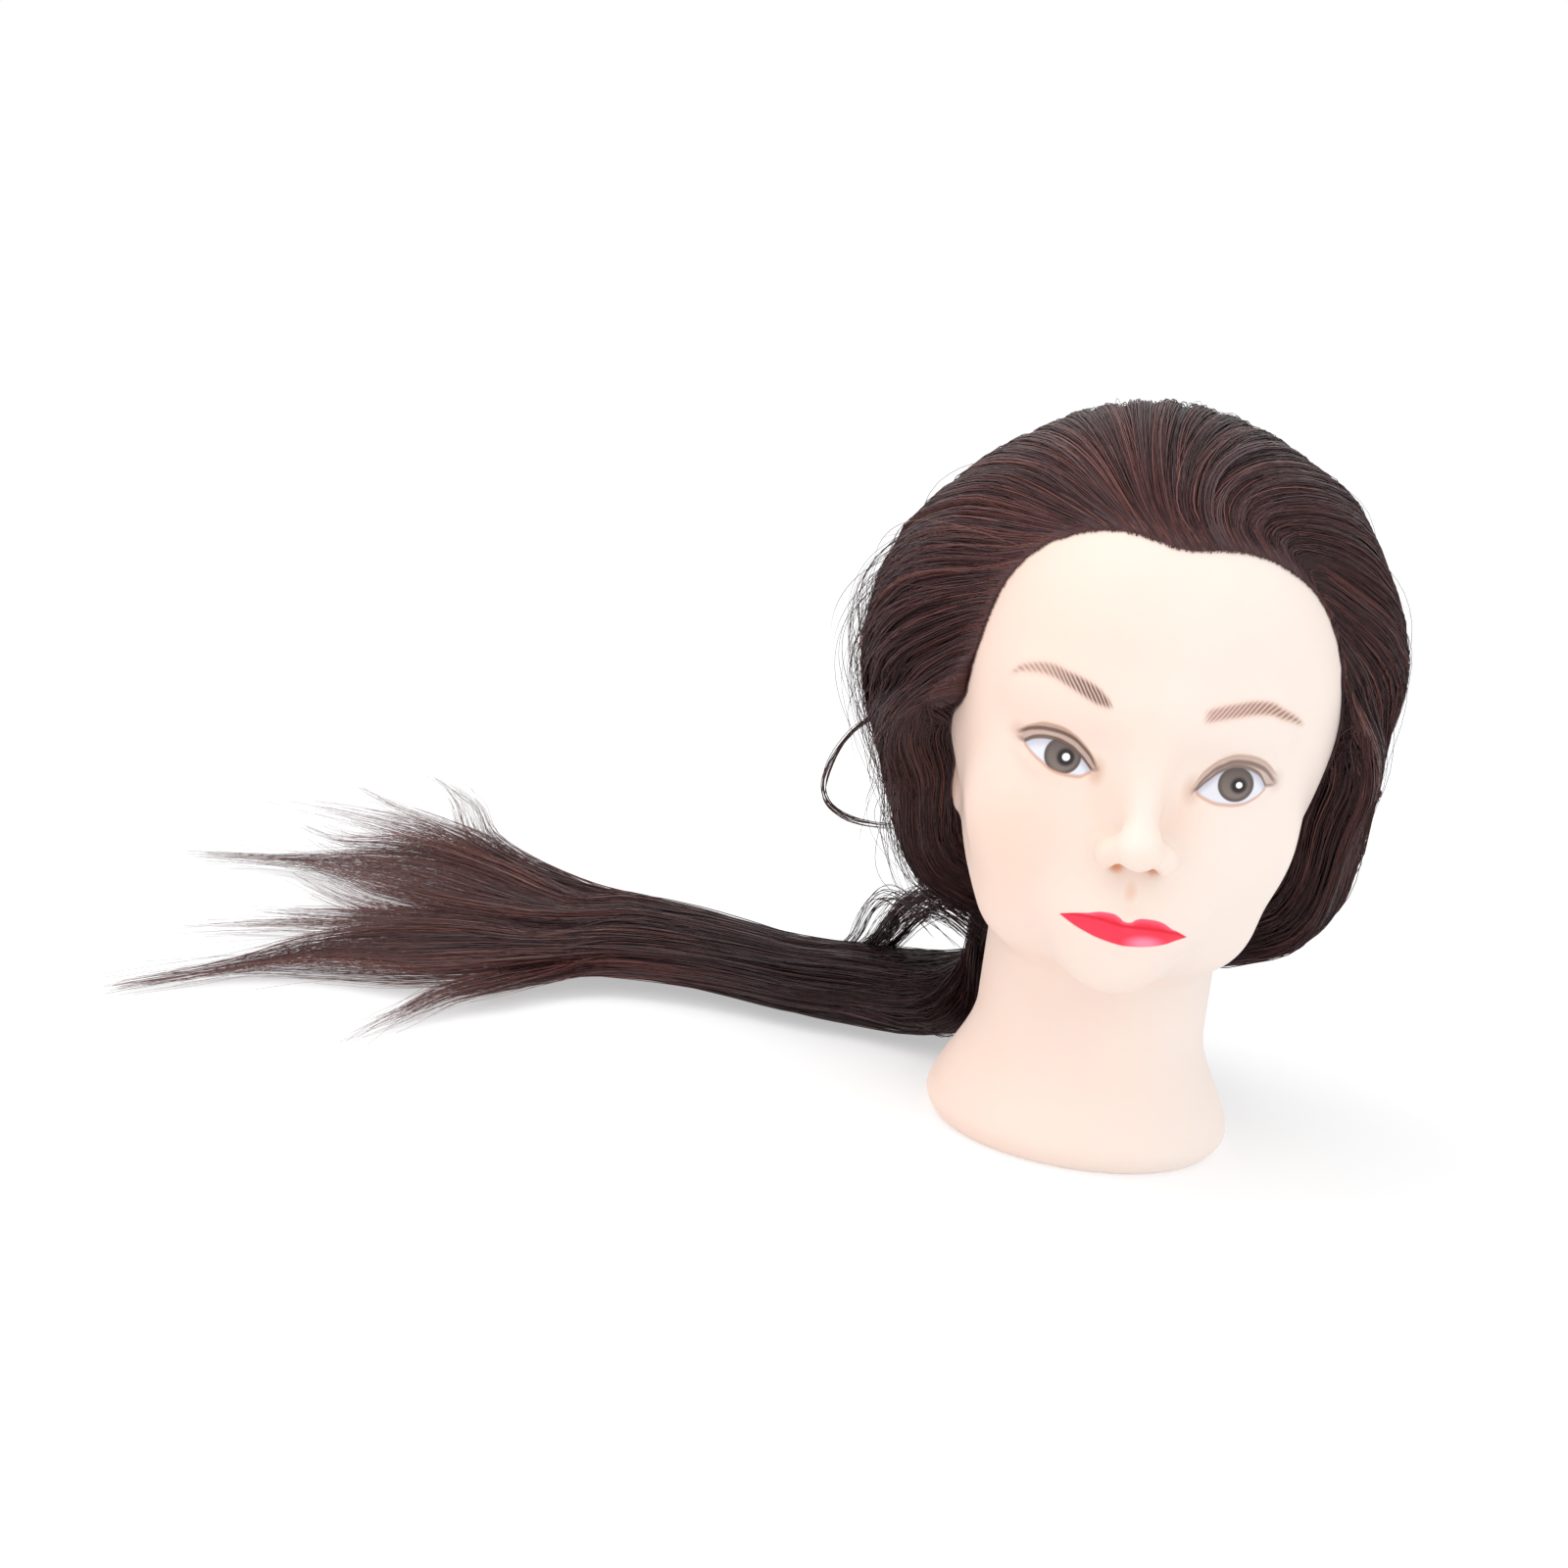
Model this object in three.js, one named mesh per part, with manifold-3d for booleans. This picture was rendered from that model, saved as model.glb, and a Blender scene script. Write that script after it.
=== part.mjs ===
// Mannequin training head for hairdressing practice, life size, in millimetres, +Z up.
// The head stands on its neck base with the centre of the clamp socket's mouth at the origin.
// It faces -Y, and its long hair falls behind the neck and lies swept out along -X on the table.
import * as THREE from 'three';
import * as BufferGeometryUtils from 'three/addons/utils/BufferGeometryUtils.js';
import Module from 'manifold-3d';

const wasm = await Module();
wasm.setup();

// ---- Driving dimensions ----
const HEAD_HEIGHT = 254.5; // bare crown above the table
const HEAD_DEPTH = 184; // forehead to the back of the skull
const HEAD_WIDTH = 149; // over the parietal bones
const FACE_WIDTH = 124; // cheek to cheek
const CHIN_Z = 71;
const EYE_Z = 154;
const EYE_SPACING = 61; // iris to iris
const NOSE_Z = 129; // tip of the nose
const MOUTH_Z = 99;
const NECK_RADIUS = 42.5;
const BASE_RADIUS = 57; // widest part of the neck base, side to side
const SKIN_WALL = 3; // moulded vinyl
const CAP_THICKNESS = 1.4;
const GAP = 0.4; // clearance kept between neighbouring pieces
const SOCKET_BORE = 24; // fits the pin of a table clamp
const SOCKET_DEPTH = 62;
const SOCKET_WALL = 2.5;
const PLATE_THICKNESS = 5;
const HAIR_WIDTH = 201; // over the combed-back hair, side to side
const HAIR_TOP = 272;
const TABLE_CLEARANCE = 0.5; // the loose hair lies this far above the plane of the base

const DEG = Math.PI / 180;
const SKULL = new THREE.Vector3(0, 12, 165); // the point that the scalp and the hair are drawn round

// ---- Shapes as signed distances ----
const smooth = (a, b, x) => THREE.MathUtils.smoothstep(x, a, b);

// The value at x in a table of rising [x, value] pairs.
function tableValue(table, x) {
  const i = Math.max(1, table.findIndex(([at]) => at >= x));
  const [x0, v0] = table[i - 1];
  const [x1, v1] = table[i];
  return v0 + ((v1 - v0) * (x - x0)) / (x1 - x0);
}

function blend(a, b, k) {
  const h = Math.max(k - Math.abs(a - b), 0) / k;
  return Math.min(a, b) - (h * h * k) / 4;
}

function carve(a, b, k) {
  return -blend(-a, b, k);
}

function ellipsoid(x, y, z, [cx, cy, cz], [rx, ry, rz]) {
  const px = x - cx;
  const py = y - cy;
  const pz = z - cz;
  const k0 = Math.hypot(px / rx, py / ry, pz / rz);
  const k1 = Math.hypot(px / rx ** 2, py / ry ** 2, pz / rz ** 2);
  return k1 < 1e-9 ? -Math.min(rx, ry, rz) : (k0 * (k0 - 1)) / k1;
}

function capsule(x, y, z, [ax, ay, az], [bx, by, bz], ra, rb) {
  const d = [bx - ax, by - ay, bz - az];
  const along = (x - ax) * d[0] + (y - ay) * d[1] + (z - az) * d[2];
  const t = THREE.MathUtils.clamp(along / (d[0] ** 2 + d[1] ** 2 + d[2] ** 2), 0, 1);
  const away = Math.hypot(x - ax - t * d[0], y - ay - t * d[1], z - az - t * d[2]);
  return away - (ra + (rb - ra) * t);
}

// The neck is a column that flares into the round base.
function neckForm(x, y, z) {
  const flare = (BASE_RADIUS - NECK_RADIUS) * (1 - smooth(4, 44, z));
  const rim = 5 * Math.max(0, 1 - z / 9) ** 2;
  const centre = 2 + 8 * smooth(20, 110, z);
  const round = Math.hypot(x, (y - centre) / 1.06);
  return Math.max(0.85 * (round - NECK_RADIUS - flare + rim), z - 130);
}

function headForm(px, y, z) {
  const x = Math.abs(px);
  const eye = EYE_SPACING / 2;
  let d = ellipsoid(x, y, z, [0, 16, 177], [HEAD_WIDTH / 2, HEAD_DEPTH / 2, HEAD_HEIGHT - 177]);
  d = blend(d, ellipsoid(x, y, z, [0, -15, 150], [FACE_WIDTH / 2, 62, 82]), 16);
  d = blend(d, capsule(x, y, z, [29, -34, 96], [40, 12, 112], 20.5, 18), 14); // jaw
  d = blend(d, ellipsoid(x, y, z, [0, -36, 112], [46, 43, 40]), 14); // round the mouth
  d = blend(d, ellipsoid(x, y, z, [0, -64, CHIN_Z + 14], [17, 17, 14]), 12);
  d = blend(d, ellipsoid(x, y, z, [32, -48, 130], [25, 24, 26]), 16); // cheek
  d = blend(d, capsule(x, y, z, [6, -70, 172], [38, -58, 173], 6, 5), 16); // brow
  d = carve(d, ellipsoid(x, y, z, [eye - 4, -85, EYE_Z + 3], [15, 8, 8]), 10);
  d = blend(d, ellipsoid(x, y, z, [eye - 1, -61, EYE_Z], [15, 14.5, 11]), 4);
  d = blend(d, capsule(x, y, z, [0, -70, 166], [0, -88, NOSE_Z + 4], 4, 6), 10);
  d = blend(d, ellipsoid(x, y, z, [0, -92, NOSE_Z + 0.5], [8, 8.5, 7]), 6);
  d = blend(d, ellipsoid(x, y, z, [9.5, -84.5, NOSE_Z - 3.5], [5, 7, 5.5]), 5);
  d = blend(d, ellipsoid(x, y, z, [0, -68, MOUTH_Z + 2], [25, 15, 15]), 12);
  d = blend(d, capsule(x, y, z, [0, -82.5, MOUTH_Z + 3.2], [20, -76, MOUTH_Z + 1], 3.2, 1.2), 4);
  d = blend(d, capsule(x, y, z, [0, -82, MOUTH_Z - 3.6], [15, -77, MOUTH_Z - 1.2], 3.8, 1.5), 4);
  d = blend(d, ellipsoid(x, y, z, [60, 15, 140], [5.2, 13, 29]), 5); // ear
  return blend(d, neckForm(x, y, z), 14);
}

// How far the combed hair swells at an angle round the head, seen from the front; 0 is up.
const SWELL = [
  [-180, 1], [-150, 0.96], [-120, 0.955], [-98, 1.05], [-68, 1.05], [-33, 0.98], [42, 1],
  [84, 0.965], [141, 0.97], [149, 1], [162, 1.11], [180, 1.03],
];

// The combed hair: one full mass round the skull, heavier low down behind the jaw.
function hairForm(px, y, pz) {
  const up = pz - SKULL.z;
  const swell = tableValue(SWELL, Math.atan2(px, up) / DEG);
  const x = px / swell;
  const z = SKULL.z + up / swell;
  const width = HAIR_WIDTH / 2;
  let d = ellipsoid(x, y, z, [0, 22, 168], [width, 105, HAIR_TOP - 168]);
  d = blend(d, ellipsoid(x, y, z, [-58, 46, 108], [34, 42, 46]), 24);
  d = blend(d, ellipsoid(x, y, z, [60, 44, 104], [34, 42, 44]), 24);
  return blend(d, ellipsoid(x, y, z, [-8, 68, 96], [60, 48, 48]), 24);
}

// ---- Surfaces found by walking outward along a ray ----
function reach(form, from, dir, level, far = 170) {
  const STEP = 2;
  const at = (r) => form(from.x + dir.x * r, from.y + dir.y * r, from.z + dir.z * r) - level;
  let outside = STEP;
  while (outside < far && at(outside) < 0) {
    outside += STEP;
  }
  let inside = outside - STEP;
  for (let i = 0; i < 14; i++) {
    const middle = (inside + outside) / 2;
    if (at(middle) < 0) {
      inside = middle;
    } else {
      outside = middle;
    }
  }
  return outside;
}

// A closed skin over rings of points, each ring closed on itself, with a point at each end.
function skinOver(rings, first, last) {
  const n = rings[0].length;
  const points = [...rings.flat(), first, last];
  const faces = [];
  for (let j = 0; j < n; j++) {
    const k = (j + 1) % n;
    faces.push(points.length - 2, k, j);
    for (let i = 0; i + 1 < rings.length; i++) {
      faces.push(i * n + j, i * n + k, (i + 1) * n + k, i * n + j, (i + 1) * n + k, (i + 1) * n + j);
    }
    faces.push(points.length - 1, (rings.length - 1) * n + j, (rings.length - 1) * n + k);
  }
  const geometry = new THREE.BufferGeometry().setFromPoints(points);
  return geometry.setIndex(faces);
}

// The whole head at a distance from the skin's outer surface: level rays up to the
// middle of the skull, and rays that tilt up to the crown above it.
const NECK_ROWS = [2, 5, 9, 14, 20, 27, 35, 44, 53, 60];
const FACE_ROWS = [66, 69.5, 72, 76, 81, 86, 91, 95, 98.5, 102, 106, 111, 116, 120, 124, 128, 132,
  138, 144, 150, 157, 165];
const CROWN_TILTS = [7, 15, 23, 32, 42, 53, 66, 80];
const COARSE_ROWS = [20, 45, 62, 72, 84, 100, 118, 140, 165];
const COARSE_TILTS = [18, 38, 62];
// Bearings from the middle of the face round to the back, mirrored for the other side.
const FINE_BEARINGS = [3, 6, 9, 12.5, 17, 22, 28, 35, 43, 52, 63, 76, 91, 108, 126, 144, 162];
const COARSE_BEARINGS = [14, 28, 44, 60, 80, 100, 120, 140, 160];

function bearings(oneSide) {
  const all = [...oneSide.map((a) => -a).reverse(), 0, ...oneSide, 180];
  return all.map((a) => (a - 90) * DEG);
}

function headSolid(level, { rows, tilts, around, bottom }) {
  const axisY = (z) => 3 + 9 * smooth(0, SKULL.z, z);
  const ring = (from, tilt) =>
    around.map((a) => {
      const dir = new THREE.Vector3(
        Math.cos(a) * Math.cos(tilt),
        Math.sin(a) * Math.cos(tilt),
        Math.sin(tilt),
      );
      return dir.clone().multiplyScalar(reach(headForm, from, dir, level)).add(from);
    });
  const rings = rows.map((z) => ring(new THREE.Vector3(0, axisY(z), z), 0));
  const foot = ring(new THREE.Vector3(0, axisY(0), Math.max(0, bottom)), 0);
  foot.forEach((p) => p.setZ(bottom));
  const crown = reach(headForm, SKULL, new THREE.Vector3(0, 0, 1), level);
  const top = tilts.map((t) => ring(SKULL, t * DEG));
  return skinOver(
    [foot, ...rings, ...top],
    new THREE.Vector3(0, axisY(0), bottom),
    SKULL.clone().setZ(SKULL.z + crown),
  );
}

// ---- The hairline and what grows behind it ----
// For each bearing round the face, clockwise from straight up as the face is seen,
// the angle between the face's middle and the hairline, both in degrees at SKULL.
const HAIRLINE = [
  [-180, 104], [-150, 98], [-125, 95], [-110, 90], [-98, 78], [-88, 54], [-74, 55],
  [-63, 56.5], [-53, 61], [-40, 64.3], [-28, 62.8], [-16, 59.8], [-8, 57.3], [-1, 54.8],
  [5, 54.3], [16, 58.8], [27, 62.8], [37, 66.3], [48, 69], [62, 69], [76, 69], [92, 79],
  [110, 90], [125, 95], [150, 98], [180, 104],
];
const FACE_TILT = 10 * DEG;

const hairlineAngle = (bearing) => tableValue(HAIRLINE, bearing);

// A direction given by its bearing round the face and its angle from the face's middle.
function faceward(bearing, angle) {
  const up = Math.cos(bearing * DEG) * Math.sin(angle * DEG);
  const ahead = Math.cos(angle * DEG);
  return new THREE.Vector3(
    Math.sin(bearing * DEG) * Math.sin(angle * DEG),
    -ahead * Math.cos(FACE_TILT) - up * Math.sin(FACE_TILT),
    up * Math.cos(FACE_TILT) - ahead * Math.sin(FACE_TILT),
  );
}

function bearingOf(dir) {
  const up = dir.z * Math.cos(FACE_TILT) - dir.y * Math.sin(FACE_TILT);
  return Math.atan2(dir.x, up) / DEG;
}

// How far behind the hairline a direction lies, in degrees, negative on the face.
function behindHairline(dir) {
  const ahead = -dir.y * Math.cos(FACE_TILT) - dir.z * Math.sin(FACE_TILT);
  const angle = Math.acos(THREE.MathUtils.clamp(ahead, -1, 1)) / DEG;
  return angle - hairlineAngle(bearingOf(dir));
}

// Everything in front of the hairline: a cone from SKULL out past the hair.
function faceWindow(margin) {
  const REACH = 240;
  const around = 72;
  const rings = [0.04, 0.3, 0.55, 0.8, 1].map((share) =>
    Array.from({ length: around }, (_, i) => {
      const bearing = 180 - (i / around) * 360;
      const angle = (hairlineAngle(bearing) + margin) * share;
      return faceward(bearing, angle).multiplyScalar(REACH).add(SKULL);
    }),
  );
  const middle = faceward(0, 0).multiplyScalar(REACH).add(SKULL);
  return toManifold(skinOver(rings.reverse(), SKULL.clone(), middle));
}

// A closed surface round SKULL whose distance in each direction is given.
function globe(distance, around, down) {
  const place = (tilt, a) => {
    const dir = new THREE.Vector3(
      Math.cos(a) * Math.cos(tilt),
      Math.sin(a) * Math.cos(tilt),
      Math.sin(tilt),
    );
    return dir.clone().multiplyScalar(distance(dir)).add(SKULL);
  };
  const rings = [];
  for (let i = 1; i < down; i++) {
    const tilt = (i / down - 0.5) * Math.PI;
    rings.push(Array.from({ length: around }, (_, j) => place(tilt, (j / around) * 2 * Math.PI)));
  }
  return skinOver(rings, place(-Math.PI / 2, 0), place(Math.PI / 2, 0));
}

const capDistance = (dir) => reach(headForm, SKULL, dir, 0) + GAP + CAP_THICKNESS;

// The hair lifts gradually from the hairline on top, and hangs clear of the skin low down.
function hairDistance(dir) {
  const skin = reach(headForm, SKULL, dir, 0);
  const hair = Math.max(reach(hairForm, SKULL, dir, 0), skin + 3);
  const hanging = smooth(60, 104, Math.abs(bearingOf(dir)));
  const lift = Math.max(smooth(-1, 22, behindHairline(dir)) ** 0.6, hanging);
  return THREE.MathUtils.lerp(skin + 3, hair, lift);
}

// ---- Joining and cutting ----
function toManifold(geometry) {
  const bare = geometry.clone();
  bare.deleteAttribute('normal');
  bare.deleteAttribute('uv');
  const merged = BufferGeometryUtils.mergeVertices(bare, 1e-4);
  return new wasm.Manifold(
    new wasm.Mesh({
      numProp: 3,
      vertProperties: new Float32Array(merged.attributes.position.array),
      triVerts: new Uint32Array(merged.index.array),
    }),
  );
}

function toGeometry(solid) {
  const mesh = solid.getMesh();
  const geometry = new THREE.BufferGeometry();
  geometry.setAttribute('position', new THREE.BufferAttribute(mesh.vertProperties, 3));
  geometry.setIndex(new THREE.BufferAttribute(mesh.triVerts, 1));
  return geometry;
}

function block(x0, x1, y0, y1, z0, z1) {
  const box = new THREE.BoxGeometry(x1 - x0, y1 - y0, z1 - z0);
  return toManifold(box.translate((x0 + x1) / 2, (y0 + y1) / 2, (z0 + z1) / 2));
}

function largest(solid) {
  return solid.decompose().sort((a, b) => b.volume() - a.volume())[0];
}

function rod(radius, z0, z1, sides = 36) {
  const cylinder = new THREE.CylinderGeometry(radius, radius, z1 - z0, sides);
  return toManifold(cylinder.rotateX(Math.PI / 2).translate(0, 0, (z0 + z1) / 2));
}

// ---- Materials ----
const material = (color, roughness, metalness = 0) =>
  new THREE.MeshStandardMaterial({ color, roughness, metalness });
const VINYL = material(0xfbe3d0, 0.5);
const CAP = material(0x4a3a34, 0.8);
const FOAM = material(0xf0e6c8, 0.9);
const PLASTIC = material(0xb98a5e, 0.6);
const HAIR = material(0x3b2624, 0.45);

const object = new THREE.Group();
object.name = 'mannequin_training_head';

function add(name, geometry, surface) {
  const mesh = new THREE.Mesh(geometry, surface);
  mesh.name = name;
  object.add(mesh);
}

// ---- Head ----
const FINE = { rows: [...NECK_ROWS, ...FACE_ROWS], tilts: CROWN_TILTS, around: bearings(FINE_BEARINGS) };
const COARSE = { rows: COARSE_ROWS, tilts: COARSE_TILTS, around: bearings(COARSE_BEARINGS) };
const skinOutside = toManifold(headSolid(0, { ...FINE, bottom: 0 }));
const skinInside = toManifold(headSolid(-SKIN_WALL, { ...COARSE, bottom: -1 }));
add('head_skin', toGeometry(skinOutside.subtract(skinInside)), VINYL);

const headBy = (level) => toManifold(headSolid(level, { ...FINE, bottom: -level }));

const socketRadius = SOCKET_BORE / 2 + SOCKET_WALL;
const plateTop = PLATE_THICKNESS + GAP;
const coreBlank = toManifold(headSolid(-SKIN_WALL - 1, { ...COARSE, bottom: -1 }));
const core = coreBlank
  .subtract(block(-80, 80, -90, 110, -5, plateTop))
  .subtract(rod(socketRadius + GAP, -1, SOCKET_DEPTH + SOCKET_WALL + GAP));
add('foam_core', toGeometry(core), FOAM);

const socketProfile = [
  [0, SOCKET_DEPTH], [SOCKET_BORE / 2, SOCKET_DEPTH], [SOCKET_BORE / 2, 0], [socketRadius, 0],
  [socketRadius, SOCKET_DEPTH + SOCKET_WALL], [0, SOCKET_DEPTH + SOCKET_WALL],
].map(([r, z]) => new THREE.Vector2(r, z));
add('clamp_socket', new THREE.LatheGeometry(socketProfile, 36).rotateX(Math.PI / 2), PLASTIC);

const plateBlank = toManifold(headSolid(-SKIN_WALL - 1, { ...COARSE, bottom: -1 }));
const plate = plateBlank
  .intersect(block(-80, 80, -90, 110, 0, PLATE_THICKNESS))
  .subtract(rod(socketRadius + GAP, -1, PLATE_THICKNESS + 1));
add('base_plate', toGeometry(plate), PLASTIC);

// ---- Hair on the head, parted into sections as a hairdresser parts it ----
const round = (distance, clearance = 0) => toManifold(globe((dir) => distance(dir) + clearance, 44, 26));
const headClear = headBy(GAP);
const cap = round(capDistance).subtract(headClear).subtract(faceWindow(0.5));
add('scalp_cap', toGeometry(largest(cap)), CAP);

const hairShell = round(hairDistance).subtract(headClear).subtract(round(capDistance, GAP));
const headHair = hairShell.subtract(faceWindow(0));
const FAR = 400;
const CORONAL = 20; // ear to ear over the crown
const PARIETAL = 188;
const OCCIPITAL = 98;
const half = GAP / 2;
const sides = { left: [-FAR, -half], right: [half, FAR] };
for (const [side, [x0, x1]] of Object.entries(sides)) {
  const cut = (name, y0, y1, z0, z1) =>
    add(`${name}_${side}`, toGeometry(largest(headHair.intersect(block(x0, x1, y0, y1, z0, z1)))), HAIR);
  cut('front_hair', -FAR, CORONAL - half, PARIETAL + half, FAR);
  cut('side_hair', -FAR, CORONAL - half, -FAR, PARIETAL - half);
  cut('crown_hair', CORONAL + half, FAR, PARIETAL + half, FAR);
  cut('back_hair', CORONAL + half, FAR, OCCIPITAL + half, PARIETAL - half);
  cut('nape_hair', CORONAL + half, FAR, -FAR, OCCIPITAL - half);
}

// ---- Loose hair: the fall behind the neck, the tail on the table and its tips ----
// A closed body through elliptical stations: centre, half width, half height, and the
// direction in which the width is measured.
function lock(stations, sides = 12) {
  const rings = stations.map(({ at, wide, high, across }) => {
    const [cx, cy, cz] = at;
    const [ax, ay] = across;
    return Array.from({ length: sides }, (_, i) => {
      const a = (-i / sides) * 2 * Math.PI;
      const w = wide * Math.cos(a);
      return new THREE.Vector3(cx + ax * w, cy + ay * w, cz + high * Math.sin(a));
    });
  });
  const centre = ({ at }) => new THREE.Vector3(...at);
  return skinOver(rings, centre(stations[0]), centre(stations.at(-1)));
}

const LENGTHWISE = [0, 1];
const TAIL_START = -80;
const TAIL_END = -240;
const TAIL_STEPS = 9;
// Where the tail lies on the table: x, front edge, back edge.
const TAIL_EDGES = [
  [TAIL_START, 58, 152], [-120, 62, 160], [-160, 68, 174], [-200, 60, 184], [TAIL_END, 44, 203],
];
const TAIL_HIGH = 13; // half the height of the tail where it leaves the neck
const TIP_HIGH = 6;
const frontEdge = new THREE.SplineCurve(TAIL_EDGES.map(([x, front]) => new THREE.Vector2(x, front)));
const backEdge = new THREE.SplineCurve(TAIL_EDGES.map(([x, , back]) => new THREE.Vector2(x, back)));

function tailShare(index, count) {
  return Array.from({ length: TAIL_STEPS + 1 }, (_, i) => {
    const t = i / TAIL_STEPS;
    const front = frontEdge.getPoint(t);
    const back = backEdge.getPoint(t);
    const width = (back.y - front.y) / count;
    const high = THREE.MathUtils.lerp(TAIL_HIGH, TIP_HIGH, t);
    return {
      at: [front.x, front.y + width * (index + 0.5), high + TABLE_CLEARANCE],
      wide: width / 2 - half,
      high,
      across: LENGTHWISE,
    };
  });
}

const fall = toManifold(lock([
  { at: [-6, 72, 92], wide: 34, high: 20, across: [0.94, 0.34] },
  { at: [-16, 84, 66], wide: 36, high: 22, across: [0.9, 0.43] },
  { at: [-34, 94, 42], wide: 38, high: 20, across: [0.75, 0.66] },
  { at: [-56, 101, 24], wide: 42, high: 17, across: [0.45, 0.89] },
  {
    at: [TAIL_START + GAP, 105, TAIL_HIGH + TABLE_CLEARANCE],
    wide: 46.5,
    high: TAIL_HIGH,
    across: LENGTHWISE,
  },
]));
const hairClear = round(hairDistance, GAP);
add('fall_hair', toGeometry(largest(fall.subtract(hairClear).subtract(headClear))), HAIR);

['front', 'middle', 'back'].forEach((name, i) => {
  add(`tail_${name}_lock`, lock(tailShare(i, 3)), HAIR);
});

// Each lock of the tail ends in two tips: where the tip bends and where it ends.
const TIPS = [
  ['tip_front', [-262, 24, 5], [-284, -34, 2]],
  ['tip_long', [-300, 62, 6], [-372, -36, 2]],
  ['tip_middle_short', [-268, 112, 6], [-312, 108, 3]],
  ['tip_middle_long', [-288, 148, 7], [-366, 166, 4]],
  ['tip_back_low', [-288, 184, 8], [-358, 226, 8]],
  ['tip_back_high', [-270, 212, 15], [-316, 272, 36]],
];
const [, tailFront, tailBack] = TAIL_EDGES.at(-1);
const tipWidth = (tailBack - tailFront) / TIPS.length;
TIPS.forEach(([name, bend, end], i) => {
  const root = [TAIL_END - GAP, tailFront + tipWidth * (i + 0.5), TIP_HIGH + TABLE_CLEARANCE];
  const route = new THREE.CatmullRomCurve3([root, bend, end].map((p) => new THREE.Vector3(...p)));
  const steps = 7;
  const stations = Array.from({ length: steps + 1 }, (_, k) => {
    const t = k / steps;
    const p = route.getPoint(t);
    const ahead = route.getTangent(t);
    const across = k === 0 ? LENGTHWISE : new THREE.Vector2(-ahead.y, ahead.x).normalize().toArray();
    const taper = 1 - 0.88 * t;
    const flat = across[1] < 0 ? -1 : 1;
    const high = Math.min(TIP_HIGH * taper, p.z - TABLE_CLEARANCE);
    return {
      at: p.toArray(),
      wide: (tipWidth / 2 - half) * taper,
      high,
      across: across.map((c) => c * flat),
    };
  });
  add(name, lock(stations, 10), HAIR);
});

// A loose strand that bows out from the left side and back in.
const strand = new THREE.CatmullRomCurve3([
  new THREE.Vector3(-92, 14, 146),
  new THREE.Vector3(-104, 12, 134),
  new THREE.Vector3(-111, 13, 118),
  new THREE.Vector3(-104, 20, 101),
  new THREE.Vector3(-80, 28, 97),
]);
const STRAND_RADIUS = 1.2;
const ring = new THREE.Shape().absarc(0, 0, STRAND_RADIUS, 0, 2 * Math.PI);
const strandTube = new THREE.ExtrudeGeometry(ring, {
  steps: 20,
  curveSegments: 4,
  bevelEnabled: false,
  extrudePath: strand,
});
add('loose_strand', toGeometry(largest(toManifold(strandTube).subtract(hairClear))), HAIR);

export default object;
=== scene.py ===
"""Mannequin training head: vinyl head with a painted face and long swept hair.

Lengths in the numpy parts are millimetres in the CAD frame; pieces are made in metres.
"""
import math

import bpy
import numpy as np
from mathutils import Matrix
from numpy.random import default_rng


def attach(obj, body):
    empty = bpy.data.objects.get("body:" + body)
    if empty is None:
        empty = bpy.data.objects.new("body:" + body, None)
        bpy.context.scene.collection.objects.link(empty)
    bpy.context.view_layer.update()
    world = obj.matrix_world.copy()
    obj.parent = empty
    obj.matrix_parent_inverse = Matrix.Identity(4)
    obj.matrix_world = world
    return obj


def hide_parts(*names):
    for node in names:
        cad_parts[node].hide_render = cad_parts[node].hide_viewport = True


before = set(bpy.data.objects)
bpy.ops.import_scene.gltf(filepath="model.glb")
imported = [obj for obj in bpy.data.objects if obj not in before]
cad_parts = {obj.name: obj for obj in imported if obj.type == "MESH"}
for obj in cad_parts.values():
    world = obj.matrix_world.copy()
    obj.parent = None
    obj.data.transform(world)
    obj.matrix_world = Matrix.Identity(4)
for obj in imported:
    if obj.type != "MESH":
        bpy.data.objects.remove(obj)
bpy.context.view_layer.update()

MM = 0.001

# ---- dimensions
EYE_X, EYE_Z = 30.5, 154.0
NOSE_Z = 129.0
MOUTH_Z = 99.0
CHIN_Z = 71.0
NECK_RADIUS, BASE_RADIUS = 42.5, 57.0
SKULL = np.array([0.0, 12.0, 165.0])
FACE_TILT = math.radians(10)
FACE_SHIFT = 1.6          # the nose and mouth sit this far off the middle
WALL = 3.4                # of the hollow neck
HOLLOW_TOP = 66.0
# The hairline: a bearing round the face, 0 at the top, and an angle from the face's middle.
HAIRLINE = np.array([
    [-180, 104], [-150, 98], [-125, 95], [-110, 90], [-98, 78], [-88, 54], [-74, 55],
    [-63, 56.5], [-53, 61], [-40, 64.3], [-28, 62.8], [-16, 59.8], [-8, 57.1], [-1, 54.0],
    [5, 53.5], [16, 58.8], [27, 62.8], [37, 66.3], [48, 69], [62, 69], [76, 69], [85, 71], [93, 80],
    [110, 90], [125, 95], [150, 98], [180, 104]], float)


# ---- signed distances
def smooth(lo, hi, x):
    t = np.clip((x - lo) / (hi - lo), 0, 1)
    return t * t * (3 - 2 * t)


def blend(a, b, k):
    h = np.maximum(k - np.abs(a - b), 0) / k
    return np.minimum(a, b) - h * h * k / 4


def carve(a, b, k):
    return -blend(-a, b, k)


def ellipsoid(x, y, z, c, r):
    px, py, pz = x - c[0], y - c[1], z - c[2]
    k0 = np.sqrt((px / r[0]) ** 2 + (py / r[1]) ** 2 + (pz / r[2]) ** 2)
    k1 = np.sqrt((px / r[0] ** 2) ** 2 + (py / r[1] ** 2) ** 2 + (pz / r[2] ** 2) ** 2)
    return np.where(k1 < 1e-9, -min(r), k0 * (k0 - 1) / np.maximum(k1, 1e-9))


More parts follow.
